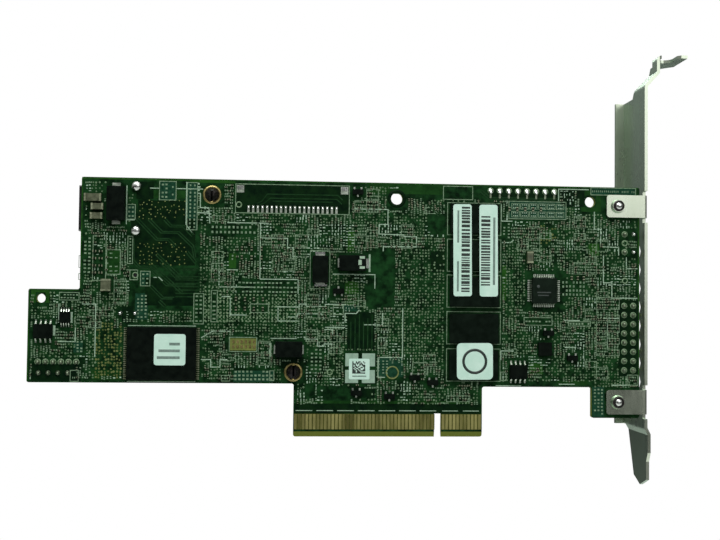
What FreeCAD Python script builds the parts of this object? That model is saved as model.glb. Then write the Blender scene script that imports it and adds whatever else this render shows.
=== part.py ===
import FreeCAD, Part
import math
import os
from FreeCAD import Vector

os.makedirs("parts", exist_ok=True)

# A low-profile storage controller card on its full-height bracket.
#
# Placement words used below, all in millimetres:
#   u  along the board, from its left end towards the bracket (X)
#   v  up the board, from the bottom of the edge tongue (Z)
#   d  through the board, from its solder face towards the components (Y)
# The frame's origin is on the tongue's bottom edge, at the middle of the key
# and of the board's thickness.  Z is up and the bracket stands at +X.

# ---------------------------------------------------------------- board
board_length = 165.6
board_height = 68.9
board_thick = 1.57
board_corner = 0.6
key_from_left = 109.5
lobe_length = 13.3
lobe_top = 38.9
shoulder_left = 14.2
shoulder_right = 13.6
foot_length = 13.4
foot_left = board_length - foot_length
foot_bottom = 5.2

# ------------------------------------------------- edge tongue and contacts
contact_pitch = 1.0
contacts_long = 38
contacts_short = 11
contacts_across_key = 3.0
contact_margin = 0.65
contact_width = 0.7
contact_bottom = 2.0
contact_top = 6.05
contact_thick = 0.05
key_width = 1.9
key_depth = 8.8
bevel_height = 1.4
bevel_depth = 0.42

# how far a cutting tool runs past the surface it cuts
overcut = 1.0

# ---------------------------------------------------------------- bracket
sheet = 0.86
board_to_bracket_face = 2.05
bracket_outer = board_length + board_to_bracket_face
bracket_width = 18.42
bracket_top = 106.2
bracket_tip = -13.82
tab_reach = 11.43
bend_radius = 1.0
flange_depth = 2.54
flange_bottom = 2.0
flange_top = 95.5
jog_start = 97.2
jog_reach = 3.5
jog_extra_rise = 0.4
tongue_set_out = 0.9
tongue_width = 10.19
tongue_near_gap = 1.2
tongue_corner_v = -11.8
tongue_shoulder_v = -4.3
tongue_slope = 2.5
tongue_far_step = 2.0
set_out_start = 1.2
set_out_end = 0.6
notch_radius = 2.21
notch_depth = 6.4
notch_flare = 0.9
notch_from_end = 4.9
tab_far_trim = 3.9
tab_end_corner = 4.0
neck_wide = 5.3
neck_narrow = 3.8
neck_step_v = 103.4
neck_flare = 4.85
tab_trim_length = 4.0
board_tab_length = 10.7
upper_tab_v = 63.6
upper_tab_height = 6.2
lower_tab_v = 9.6
lower_tab_height = 6.7
tab_corner = 0.8
fold_round = 0.8
relief_height = 1.3
relief_depth = 1.6
vent_flats = 3.8
vent_pitch = 5.2
vent_columns = 3
vent_rows = 8
vent_low_v = 15.0
vent_near_d = 4.6

# ------------------------------------------------------- bracket screws
screw_radius = 1.25
screw_hole_radius = 1.5
screw_from_face = 8.45
screw_u = bracket_outer - screw_from_face
screw_upper_v = 63.6
screw_lower_v = 9.6
screw_head_radius = 2.4
screw_head_top_radius = 1.73
screw_head_height = 1.7
screw_recess_width = 0.6
screw_recess_length = 2.6
screw_recess_depth = 1.0
screw_past_collar = 0.25
collar_radius = 1.95
collar_top_radius = 1.7
collar_height = 0.9

# ------------------------------------------------------------ setting out
# The parts are set out from left to right, each from its neighbour and a gap:
# receptacle, heatsink, room for the power parts, memory, logic controller.
sas_mouth_u = 12.4
sas_length = 30.2
sas_to_sink = 1.9
sink_width = 29.0
processor_u = sas_mouth_u + sas_length + sas_to_sink + sink_width / 2
power_room = 39.0
memory_width = 13.4
memory_u = processor_u + sink_width / 2 + power_room + memory_width / 2
logic_body = 7.0
logic_lead_reach = 1.0
memory_to_logic = 8.2
logic_u = memory_u + memory_width / 2 + memory_to_logic + logic_lead_reach + logic_body / 2
header_from_end = 4.3
header_u = board_length - header_from_end

# ------------------------------------------------------ heatsink and processor
processor_v = 41.0
substrate_size = 27.0
ball_gap = 0.45
substrate_thick = 1.2
lid_size = 20.0
lid_thick = 1.1
lid_corner = 0.8
pad_thick = 0.35
sink_length = 53.0
sink_base = 2.4
sink_height = 9.4
sink_corner = 1.2
post_width = 1.6
post_length = 3.2
post_columns = 7
post_rows = 9
post_sink = 0.1
pin_offset_u = 11.2
pin_offset_v = 23.75
pin_radius = 1.45
pin_hole_radius = 1.72
pin_head_radius = 2.7
pin_head_top_radius = 2.16
pin_head_thick = 1.0
pin_head_d = 11.6
barb_radius = 1.9
barb_tip_radius = 0.8
barb_length = 2.1
barb_lip = 0.5
barb_gap = 0.05
barb_slot = 0.55
barb_slot_past_board = 1.0
spring_wire = 0.45
spring_turn_count = 3
spring_flat_count = 8
spring_clearance = 0.25
pin_pocket = 0.5

# ------------------------------------------------------------ SAS receptacle
sas_centre_v = 60.65
sas_width = 11.6
sas_height = 9.4
sas_wall = 1.0
sas_cavity_depth = 6.2
sas_slot_height = 1.25
sas_slot_length = 7.6
sas_slot_depth = 5.5
sas_slot_spacing = 3.4
sas_contacts_per_side = 9
sas_contact_pitch = 0.78
sas_contact_width = 0.36
sas_contact_thick = 0.3
shell_thick = 0.3
shell_window_length = 4.0
shell_window_width = 3.0
peg_u = sas_mouth_u + 15.3
leg_width = 1.5
peg_hole_radius = 0.95

# ---------------------------------------------------- memory and logic packages
memory_first_v = 19.5
memory_pitch = 9.97
memory_count = 5
memory_front_count = 4
memory_height = 8.0
memory_thick = 0.85
memory_gap = 0.32

flash_u = 35.1
flash_v = 22.05
flash_body_u = 18.4
flash_body_v = 14.0
flash_top = 1.15
flash_lead_pitch = 0.5
flash_leads_per_side = 28
flash_lead_width = 0.22
flash_lead_reach = 0.8
flash_lead_foot = 0.4

logic_v = 40.0
logic_top = 1.5
logic_lead_pitch = 0.5
logic_leads_per_side = 12
logic_lead_width = 0.24
logic_lead_foot = 0.5

package_gap = 0.1
qfn_u = logic_u + 0.4
qfn_v = 24.0
qfn_size = 3.6
qfn_thick = 0.85

lead_thick = 0.18
mould_slope = 0.12
small_leads_per_side = 4
small_lead_share = 0.33
small_lead_reach = 1.1
small_lead_foot = 0.5

# Small-outline packages: u, v, body along u, body along v, height, lead pitch.
# The leads leave the upper and lower sides, four to a side.
small_outline = [
    (4.1, 27.7, 4.9, 3.9, 1.5, 1.27),
    (9.7, 31.4, 3.0, 3.0, 1.0, 0.65),
    (memory_u + 12.3, 17.7, 4.9, 3.9, 1.5, 1.27),
]

# Three-lead transistors: u, v, and 1 where the pair of leads points up.
transistors = [
    (memory_u - 11.2, 14.7, 1),
    (memory_u - 23.0, 10.9, 1),
    (memory_u - 16.1, 16.0, 1),
    (logic_u + 1.3, 28.4, 1),
    (memory_u - 32.1, 66.2, 1),
    (memory_u - 37.1, 39.2, -1),
    (memory_u - 32.0, 11.8, 1),
    (logic_u + 8.0, 21.6, 1),
]
transistor_body_u = 2.9
transistor_body_v = 1.4
transistor_top = 1.0
transistor_lead_pitch = 1.9
transistor_lead_width = 0.45
transistor_lead_reach = 0.6

# ----------------------------------------------------------- passive parts
# Moulded tantalum capacitors: u, v, and 1 where the long side runs along u.
tantalums = [
    (memory_u - 42.1, 45.05, 0),
    (memory_u - 33.4, 46.8, 1),
    (memory_u - 50.3, 23.4, 1),
]
tantalum_length = 7.3
tantalum_width = 4.3
tantalum_height = 2.8
tantalum_tab_width = 2.4
tantalum_tab_reach = 0.35
tantalum_tab_height = 1.5

choke_u = 22.6
choke_v = 61.8
choke_width = 4.8
choke_length = 9.2
choke_height = 3.1
choke_tab_width = 2.1
choke_tab_reach = 0.9
choke_tab_height = 1.2

# Ceramic capacitors with plated ends: u, v, length, width, 1 where along u.
ceramics = [
    (16.4, 63.4, 4.5, 2.0, 1),
    (17.6, 61.0, 3.2, 1.6, 1),
    (17.4, 58.5, 3.2, 1.6, 1),
    (20.2, 40.1, 3.2, 2.5, 0),
    (logic_u - 4.0, 49.1, 3.2, 1.6, 0),
]
ceramic_end = 0.5
ceramic_height = 1.3
ceramic_end_proud = 0.04

# 0402 capacitors and resistors on the solder side: first u, first v, count
# along u, count along v, pitch along u, pitch along v, 1 where they lie along u.
back_chip_fields = [
    (processor_u - 4.4, 34.2, 4, 2, 2.4, 2.6, 0),
    (processor_u - 3.0, 48.0, 3, 2, 2.6, 2.4, 0),
    (17.0, 43.4, 2, 4, 1.7, 1.9, 1),
    (logic_u + 7.8, 43.6, 3, 1, 1.7, 1.8, 0),
    (logic_u - 9.7, 62.4, 5, 1, 2.2, 1.8, 0),
]
chip_length = 1.0
chip_width = 0.5
chip_height = 0.4
chip_end = 0.25
chip_end_proud = 0.02

# The same on the component side.
front_chip_fields = [
    (processor_u + 25.0, 20.0, 4, 1, 2.2, 1.9, 0),
    (logic_u - 6.6, 30.0, 3, 2, 2.4, 2.4, 0),
    (20.0, 44.0, 2, 1, 2.4, 2.0, 1),
]

# ------------------------------------------------ power parts, component side
# Moulded power inductors: u, v.
inductors = [(processor_u + 29.0, 58.5), (processor_u + 39.5, 52.0), (processor_u + 29.0, 29.0)]
inductor_size = 7.0
inductor_height = 4.0
inductor_chamfer = 0.8
inductor_tab_width = 3.0
inductor_tab_thick = 0.25
inductor_tab_rise = 1.6

# Aluminium can capacitors: u, v.
cans = [(processor_u + 40.5, 42.0), (processor_u + 29.5, 47.0), (processor_u + 40.0, 27.0)]
can_radius = 3.15
can_height = 5.8
can_base = 6.6
can_base_thick = 1.1
can_base_chamfer = 1.3
can_round = 0.6

# Power switches in flat packages: u, v.
switches = [
    (processor_u + 22.6, 60.5),
    (processor_u + 22.6, 53.0),
    (processor_u + 21.4, 33.5),
    (processor_u + 21.4, 26.5),
    (processor_u + 46.0, 33.5),
]
switch_width = 5.2
switch_length = 6.0
switch_height = 1.0

crystal_u = logic_u + 6.4
crystal_v = 46.0
crystal_width = 5.0
crystal_length = 3.2
crystal_height = 1.1
crystal_rim = 0.35

buzzer_u = 26.0
buzzer_v = 32.6
buzzer_radius = 4.5
buzzer_height = 4.2
buzzer_port = 0.9
buzzer_port_depth = 1.5
buzzer_pin_spacing = 3.9
buzzer_pin_radius = 0.3

# Status lamps on the component side: u, v.
lamp_u = header_u - 5.3
lamps = [(lamp_u, 48.0), (lamp_u, 44.0), (lamp_u, 40.0)]
lamp_length = 1.6
lamp_width = 0.8
lamp_height = 0.7

# -------------------------------------------------------------- pin headers
# u and v of the first pin, pins along u, pins along v, pitch.
headers = [
    (header_u, 18.3, 2, 8, 2.54),
    (123.7, 67.3, 8, 1, 2.54),
    (3.0, 16.7, 4, 1, 2.54),
    (2.8, 19.6, 6, 1, 2.0),
    (header_u + 0.1, 50.95, 2, 1, 2.54),
    (header_u + 0.1, 55.9, 2, 1, 2.54),
]
header_body = 2.5
post_side = 0.64
post_top = 8.4
post_hole_radius = 0.54
joint_radius = 0.78
joint_top_radius = 0.34
joint_height = 0.75
peg_joint_radius = 1.5
peg_joint_top_radius = 0.85
peg_joint_height = 1.25

# ------------------------------------------- holes and pads of the bare board
# Plain holes through the board: u, v, radius.
corner_hole_from_end = 14.0
plain_holes = [
    (3.3, 36.4, 1.2),
    (97.8, 64.6, 1.6),
    (board_length - corner_hole_from_end, 64.7, 1.45),
    (97.0, 17.3, 1.3),
]
# Small locating holes beside the fine pads and the receptacle.
small_holes = [
    (55.0, 62.2, 0.65),
    (83.6, 62.0, 0.65),
    (27.8, 42.8, 0.95),
]
tinned_thick = 0.06
fine_pad_u = 57.6
fine_pad_v = 61.1
fine_pad_pitch = 1.25
fine_pad_count = 20
fine_pad_width = 0.6
fine_pad_height = 1.9
anchor_pad_u = 55.35
anchor_pad_spacing = 28.15
anchor_pad_v = 66.5
anchor_pad_size = 2.0

# ------------------------------------------------------------------- labels
label_thick = 0.1
label_corner = 0.7
barcode_width = 5.05
barcode_length = 25.1
barcode_v = 50.75
barcode_left_u = memory_u - 3.4
barcode_right_u = memory_u + 3.8
barcode_tilt = 0.6
mark_label_size = 9.9
mark_label_v = 20.55
mark_label_corner = 1.2
mark_label_offset = 0.2
flash_label_size = 8.3
flash_label_u = flash_u + 2.25
flash_label_v = flash_v + 1.05
code_label_size = 5.6
code_label_u = 88.0
code_label_v = 18.2


def x_at(u):
    return u - key_from_left


def y_at(d):
    return d - board_thick / 2


def rise(height, side):
    """Y of a height above the solder face (side -1) or the component face (+1)."""
    if side < 0:
        return y_at(-height)
    return y_at(board_thick + height)


def save(name, solids):
    if len(solids) == 1:
        shape = solids[0]
    else:
        shape = Part.makeCompound(solids)
    shape.exportStep("parts/" + name + ".step")


def block(u, v, along_u, along_v, low, high, side=1):
    """A box centred on u, v, between two heights above one face of the board."""
    y0 = rise(low, side)
    y1 = rise(high, side)
    corner = Vector(x_at(u - along_u / 2), min(y0, y1), v - along_v / 2)
    return Part.makeBox(along_u, abs(y1 - y0), along_v, corner)


def post(u, v, radius, d0, d1, top_radius=None):
    """A round post along Y between two depths; a cone where top_radius differs."""
    base = Vector(x_at(u), y_at(d0), v)
    way = Vector(0, 1 if d1 > d0 else -1, 0)
    if top_radius is None:
        return Part.makeCylinder(radius, abs(d1 - d0), base, way)
    return Part.makeCone(radius, top_radius, abs(d1 - d0), base, way)


def flat_sided(u, v, radius, d0, d1, top_radius=None, sides=8):
    """A post like the round one, with flat sides: for what repeats in dozens."""
    top_radius = radius if top_radius is None else top_radius

    def ring(d, reach):
        points = []
        for n in range(sides):
            turn = (n + 0.5) * 2 * math.pi / sides
            across = reach * math.cos(turn)
            up = reach * math.sin(turn)
            points.append(Vector(x_at(u) + across, y_at(d), v + up))
        return points

    low = ring(d0, radius)
    high = ring(d1, top_radius)
    outlines = [low, high]
    for n in range(sides):
        after = (n + 1) % sides
        outlines.append([low[n], low[after], high[after], high[n]])
    faces = [Part.Face(Part.makePolygon(points + points[:1])) for points in outlines]
    return Part.makeSolid(Part.makeShell(faces))


def plate_xz(points, y0, y1):
    """A prism along Y on a polygon of u, v points."""
    ring = [Vector(x_at(u), y0, v) for u, v in points]
    face = Part.Face(Part.makePolygon(ring + ring[:1]))
    return face.extrude(Vector(0, y1 - y0, 0))


def edges_along(shape, axis):
    """Straight edges parallel to an axis vector."""
    found = []
    for edge in shape.Edges:
        if edge.Curve.TypeId != "Part::GeomLine":
            continue
        way = (edge.Vertexes[-1].Point - edge.Vertexes[0].Point).normalize()
        if abs(abs(way.dot(axis)) - 1) < 1e-6:
            found.append(edge)
    return found


def fuse(solids):
    joined = solids[0].multiFuse(solids[1:]) if len(solids) > 1 else solids[0]
    return joined.removeSplitter()


# ----------------------------------------------------------------- bare board
def tongue_span():
    """u of the tongue's two ends, a margin outside the outermost contacts."""
    places = contact_places()
    return min(places) - contact_margin, max(places) + contact_margin


def contact_places():
    """u of every contact centre, the long row first."""
    half_gap = contacts_across_key / 2
    places = [key_from_left - half_gap - n * contact_pitch for n in range(contacts_long)]
    places += [key_from_left + half_gap + n * contact_pitch for n in range(contacts_short)]
    return places


def header_places():
    """Every pin of every header: u, v."""
    places = []
    for u0, v0, across, up, pitch in headers:
        for i in range(across):
            for j in range(up):
                places.append((u0 + i * pitch, v0 + j * pitch))
    return places


def push_pin_places():
    """The two push pins stand at opposite corners of the heatsink."""
    return [
        (processor_u - pin_offset_u, processor_v + pin_offset_v),
        (processor_u + pin_offset_u, processor_v - pin_offset_v),
    ]


def peg_places():
    """The cage's two legs stand in line with its walls."""
    wall = (sas_width + shell_thick) / 2
    return [(peg_u, sas_centre_v + s * wall) for s in (1, -1)]


def buzzer_pin_places():
    return [(buzzer_u + s * buzzer_pin_spacing / 2, buzzer_v) for s in (1, -1)]


def screw_places():
    return [(screw_u, screw_upper_v), (screw_u, screw_lower_v)]


def make_board():
    left, right = tongue_span()
    outline = [
        (0, shoulder_left), (left, shoulder_left), (left, 0), (right, 0),
        (right, shoulder_right), (foot_left, shoulder_right), (foot_left, foot_bottom),
        (board_length, foot_bottom), (board_length, board_height),
        (lobe_length, board_height), (lobe_length, lobe_top), (0, lobe_top),
    ]
    board = plate_xz(outline, y_at(0), y_at(board_thick))
    board = board.makeFillet(board_corner, edges_along(board, Vector(0, 1, 0)))
    through = (-overcut, board_thick + overcut)
    key_left = key_from_left - key_width / 2
    key_right = key_from_left + key_width / 2
    key_round_v = key_depth - key_width / 2
    key_low = plate_xz(
        [(key_left, -overcut), (key_right, -overcut), (key_right, key_round_v), (key_left, key_round_v)],
        y_at(through[0]), y_at(through[1]))
    tools = [key_low, post(key_from_left, key_round_v, key_width / 2, *through)]
    for d0, way in ((0, 1), (board_thick, -1)):
        # lead-in bevel on each face of the tongue's bottom edge
        past = overcut * bevel_depth / bevel_height
        wedge = yz_prism([
            (d0 - way * overcut, -overcut), (d0 + way * (bevel_depth + past), -overcut),
            (d0 - way * past, bevel_height + overcut), (d0 - way * overcut, bevel_height + overcut),
        ], left - overcut, right + overcut)
        tools.append(wedge)
    for u, v, radius in plain_holes:
        tools.append(post(u, v, radius, *through))
    for u, v, radius in small_holes:
        tools.append(flat_sided(u, v, radius, *through))
    for u, v in push_pin_places():
        tools.append(post(u, v, pin_hole_radius, *through))
    for u, v in screw_places():
        tools.append(post(u, v, screw_hole_radius, *through))
    for u, v in peg_places():
        tools.append(flat_sided(u, v, peg_hole_radius, *through))
    for u, v in header_places() + buzzer_pin_places():
        tools.append(flat_sided(u, v, post_hole_radius, *through, sides=6))
    save("pcb", [board.cut(tools)])


def make_contacts():
    for name, side in (("edge_contacts_back", -1), ("edge_contacts_front", 1)):
        height = contact_top - contact_bottom
        middle = (contact_top + contact_bottom) / 2
        strips = [block(u, middle, contact_width, height, 0, contact_thick, side) for u in contact_places()]
        save(name, strips)


def make_tinned_pads():
    pads = []
    for n in range(fine_pad_count):
        u = fine_pad_u + n * fine_pad_pitch
        pads.append(block(u, fine_pad_v, fine_pad_width, fine_pad_height, 0, tinned_thick, -1))
    for n in range(2):
        u = anchor_pad_u + n * anchor_pad_spacing
        pads.append(block(u, anchor_pad_v, anchor_pad_size, anchor_pad_size, 0, tinned_thick, -1))
    save("tinned_pads", pads)


# -------------------------------------------------------------------- bracket
def rounded_path(points, radius):
    """A wire through u, v points in the XZ plane, its corners turned by arcs."""
    corners = [Vector(x_at(u), 0, v) for u, v in points]
    edges = []
    start = corners[0]
    for before, here, after in zip(corners, corners[1:], corners[2:]):
        into = (here - before).normalize()
        out = (after - here).normalize()
        turn = math.acos(max(-1, min(1, into.dot(out))))
        cut = radius * math.tan(turn / 2)
        arc_start = here - into * cut
        arc_end = here + out * cut
        to_centre = (out - into).normalize()
        centre = here + to_centre * (radius / math.cos(turn / 2))
        edges.append(Part.makeLine(start, arc_start))
        edges.append(Part.Arc(arc_start, centre - to_centre * radius, arc_end).toShape())
        start = arc_end
    edges.append(Part.makeLine(start, corners[-1]))
    return Part.Wire(edges)


def yz_prism(points, u0, u1):
    """A prism along X on a polygon of d, v points."""
    ring = [Vector(x_at(u0), y_at(d), v) for d, v in points]
    face = Part.Face(Part.makePolygon(ring + ring[:1]))
    return face.extrude(Vector(u1 - u0, 0, 0))


def hexagon(u0, u1, d, v, flats):
    radius = flats / math.sqrt(3)
    turns = [math.pi * n / 3 for n in range(6)]
    ring = [(d + radius * math.cos(turn), v + radius * math.sin(turn)) for turn in turns]
    return yz_prism(ring, u0, u1)


def make_bracket():
    near = -sheet
    far = near + bracket_width
    tab_end = bracket_outer + tab_reach
    set_out = bracket_outer + tongue_set_out
    jog_u = bracket_outer + jog_reach
    # side profile of the folded strip: tongue, plate, outward jog, fold, top tab
    profile = rounded_path([
        (set_out, bracket_tip), (set_out, flange_bottom - set_out_start),
        (bracket_outer, flange_bottom + set_out_end),
        (bracket_outer, jog_start), (jog_u, jog_start + jog_reach + jog_extra_rise),
        (jog_u, bracket_top - sheet), (tab_end, bracket_top - sheet),
    ], bend_radius)
    strip = profile.makeOffset2D(sheet, 2, True, True)
    strip.translate(Vector(0, y_at(near), 0))
    strip = strip.extrude(Vector(0, bracket_width, 0))

    tongue_near = near + tongue_near_gap
    tongue_far = tongue_near + tongue_width
    tip = (tongue_near + tongue_far) / 2
    top = bracket_top + overcut
    front = yz_prism([
        (near, tongue_shoulder_v), (tongue_near, tongue_shoulder_v - tongue_slope),
        (tongue_near, tongue_corner_v), (tip, bracket_tip), (tongue_far, tongue_corner_v),
        (far - tongue_far_step, flange_bottom), (far, flange_bottom), (far, flange_top),
        (near + neck_wide + neck_flare, flange_top), (near + neck_wide, neck_step_v),
        (near + neck_narrow, neck_step_v), (near + neck_narrow, top), (near, top),
    ], bracket_outer - 2 * sheet, jog_u + sheet / 3)

    # plan of the top tab: trimmed beside the neck, and across its far corner
    tab_start = bracket_outer + jog_reach - sheet
    tab_far = far - tab_far_trim
    plan = [
        (tab_start, near), (tab_end, near), (tab_end, tab_far - tab_end_corner),
        (tab_end - tab_end_corner, tab_far), (tab_start + tab_trim_length, tab_far),
        (tab_start, near + neck_narrow),
    ]
    ring = [Vector(x_at(u), y_at(d), neck_step_v + sheet / 2) for u, d in plan]
    tab_plan = Part.Face(Part.makePolygon(ring + ring[:1])).extrude(Vector(0, 0, bracket_top))
    notch_u = tab_end - notch_from_end
    notch_end = near + notch_depth - notch_radius
    mouth = notch_radius + notch_flare
    flare_end = near + notch_flare
    plan = [
        (notch_u - mouth, near - overcut), (notch_u + mouth, near - overcut), (notch_u + mouth, near),
        (notch_u + notch_radius, flare_end), (notch_u + notch_radius, notch_end),
        (notch_u - notch_radius, notch_end), (notch_u - notch_radius, flare_end), (notch_u - mouth, near),
    ]
    slot_low = bracket_top - sheet - overcut
    slot_height = sheet + 2 * overcut
    ring = [Vector(x_at(u), y_at(d), slot_low) for u, d in plan]
    slot = Part.Face(Part.makePolygon(ring + ring[:1])).extrude(Vector(0, 0, slot_height))
    slot_end = Part.makeCylinder(
        notch_radius, slot_height, Vector(x_at(notch_u), y_at(notch_end), slot_low), Vector(0, 0, 1))
    body = strip.common(fuse([front, tab_plan])).cut([slot, slot_end])

    # stiffening flange along the far edge
    flange_inner = bracket_outer - sheet - flange_depth
    flange = plate_xz(
        [(flange_inner, flange_bottom), (bracket_outer, flange_bottom),
         (bracket_outer, flange_top), (flange_inner, flange_top)],
        y_at(far - sheet), y_at(far))
    pieces = [body, flange]
    # two tabs folded flat against the board's solder face
    for v, height in ((upper_tab_v, upper_tab_height), (lower_tab_v, lower_tab_height)):
        tab_left = bracket_outer - sheet - board_tab_length
        tab = plate_xz(
            [(tab_left, v - height / 2), (bracket_outer, v - height / 2),
             (bracket_outer, v + height / 2), (tab_left, v + height / 2)],
            y_at(near), y_at(0))
        ends = [e for e in edges_along(tab, Vector(0, 1, 0)) if e.CenterOfMass.x < x_at(tab_left + 1)]
        pieces.append(tab.makeFillet(tab_corner, ends))
    for u, v in screw_places():
        pieces.append(post(u, v, collar_radius, near, near - collar_height, collar_top_radius))
    bracket = fuse(pieces)

    # the folds' outer corners
    fold_edges = []
    for edge in edges_along(bracket, Vector(0, 0, 1)):
        at = edge.CenterOfMass
        on_outer = abs(at.x - x_at(bracket_outer)) < 1e-4
        on_far = abs(at.y - y_at(far)) < 1e-4
        if on_outer and on_far:
            fold_edges.append(edge)
    bracket = bracket.makeFillet(fold_round, fold_edges)

    tools = []
    for v, height in ((upper_tab_v, upper_tab_height), (lower_tab_v, lower_tab_height)):
        for s in (1, -1):
            # relief notch beside each fold
            middle = v + s * (height + relief_height) / 2
            low = middle - relief_height / 2
            high = middle + relief_height / 2
            notch_d = near + relief_depth
            notch = [(near - overcut, low), (notch_d, low), (notch_d, high), (near - overcut, high)]
            tools.append(yz_prism(notch, bracket_outer - sheet, bracket_outer + overcut))
        # the fold's outside is round
        inside = x_at(bracket_outer - sheet)
        low = v - height / 2
        round_cut = Part.makeBox(sheet, sheet, height, Vector(inside, y_at(near), low))
        core = Part.makeCylinder(sheet, height, Vector(inside, y_at(near + sheet), low), Vector(0, 0, 1))
        tools.append(round_cut.cut(core))
    for u, v in screw_places():
        tools.append(post(u, v, screw_radius, overcut, near - collar_height - overcut))
    for column in range(vent_columns):
        for row in range(vent_rows):
            v = vent_low_v + row * vent_pitch + (column % 2) * vent_pitch / 2
            d = vent_near_d + column * vent_pitch * math.sqrt(3) / 2
            tools.append(hexagon(bracket_outer - 2 * sheet, bracket_outer + overcut, d, v, vent_flats))
    save("bracket", [bracket.cut(tools).removeSplitter()])


def make_bracket_screws():
    screws = []
    for u, v in screw_places():
        head_top = board_thick + screw_head_height
        head = post(u, v, screw_head_radius, board_thick, head_top, screw_head_top_radius)
        shank = post(u, v, screw_radius, board_thick, -sheet - collar_height - screw_past_collar)
        screw = fuse([head, shank])
        for along_u, along_v in (
                (screw_recess_length, screw_recess_width), (screw_recess_width, screw_recess_length)):
            low = screw_head_height - screw_recess_depth
            screw = screw.cut(block(u, v, along_u, along_v, low, screw_head_height + overcut))
        screws.append(screw)
    save("bracket_screws", screws)


# ------------------------------------------------------ heatsink and processor
def stack_heights():
    """Heights above the component face: substrate bottom and top, lid top, sink bottom."""
    substrate_top = ball_gap + substrate_thick
    lid_top = substrate_top + lid_thick
    return ball_gap, substrate_top, lid_top, lid_top + pad_thick


def make_processor():
    bottom, substrate_top, lid_top, sink_bottom = stack_heights()
    substrate = block(processor_u, processor_v, substrate_size, substrate_size, bottom, substrate_top)
    save("processor_substrate", [substrate])
    lid = block(processor_u, processor_v, lid_size, lid_size, substrate_top, lid_top)
    lid = lid.makeFillet(lid_corner, edges_along(lid, Vector(0, 1, 0)))
    save("processor_lid", [lid])
    pad = block(processor_u, processor_v, lid_size, lid_size, lid_top, sink_bottom)
    save("thermal_pad", [pad])


def make_heatsink():
    bottom = stack_heights()[3]
    base_top = bottom + sink_base
    base = block(processor_u, processor_v, sink_width, sink_length, bottom, base_top)
    base = base.makeFillet(sink_corner, edges_along(base, Vector(0, 1, 0)))
    step_u = (sink_width - post_width) / (post_columns - 1)
    step_v = (sink_length - post_length) / (post_rows - 1)
    clear = pin_head_radius + pin_pocket
    pieces = [base]
    for i in range(post_columns):
        for j in range(post_rows):
            u = processor_u - sink_width / 2 + post_width / 2 + i * step_u
            v = processor_v - sink_length / 2 + post_length / 2 + j * step_v
            corner = (i in (0, post_columns - 1)) and (j in (0, post_rows - 1))
            reach_u = clear + post_width / 2
            reach_v = clear + post_length / 2
            beside_pin = any(
                abs(u - pu) < reach_u and abs(v - pv) < reach_v for pu, pv in push_pin_places())
            if corner or beside_pin:
                continue
            pieces.append(block(u, v, post_width, post_length, base_top - post_sink, bottom + sink_height))
    sink = fuse(pieces)
    hole_end = board_thick + base_top + overcut
    holes = [post(u, v, pin_hole_radius, board_thick, hole_end) for u, v in push_pin_places()]
    save("heatsink", [sink.cut(holes)])


def coil(u, v, low, high, radius):
    """A wire wound round u, v between two depths, in short flats."""
    points = []
    for n in range(spring_turn_count * spring_flat_count + 1):
        turn = 2 * math.pi * n / spring_flat_count
        depth = low + (high - low) * n / (spring_turn_count * spring_flat_count)
        points.append(Vector(x_at(u) + radius * math.cos(turn), y_at(depth), v + radius * math.sin(turn)))
    path = Part.makePolygon(points)
    half = spring_wire / 2
    side = Vector(half, 0, 0)
    up = Vector(0, half, 0)
    start = points[0]
    corners = [start + side, start + up, start - side, start - up]
    section = Part.makePolygon(corners + corners[:1])
    return path.makePipeShell([section], True, False, 1)


def make_push_pins():
    base_top = stack_heights()[3] + sink_base
    pins = []
    springs = []
    for u, v in push_pin_places():
        head_top = pin_head_d + pin_head_thick
        head = flat_sided(u, v, pin_head_radius, pin_head_d, head_top, pin_head_top_radius)
        shaft = flat_sided(u, v, pin_radius, -barb_lip, pin_head_d)
        # the split barb springs out behind the solder face
        lip = flat_sided(u, v, barb_radius, -barb_gap, -barb_lip)
        cone = flat_sided(u, v, barb_radius, -barb_lip, -barb_length, barb_tip_radius)
        pin = fuse([head, shaft, lip, cone])
        slot_end = board_thick + barb_slot_past_board
        slot = block(u, v, barb_slot, 2 * barb_radius + overcut, -slot_end, barb_length + overcut, -1)
        pins.append(pin.cut(slot))
        # coil spring between the heatsink's base and the pin's head
        low = board_thick + base_top + spring_wire / 2
        high = pin_head_d - spring_wire / 2
        coil_radius = pin_radius + spring_clearance + spring_wire / 2
        springs.append(coil(u, v, low, high, coil_radius))
    save("push_pins", pins)
    save("push_pin_springs", springs)


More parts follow.
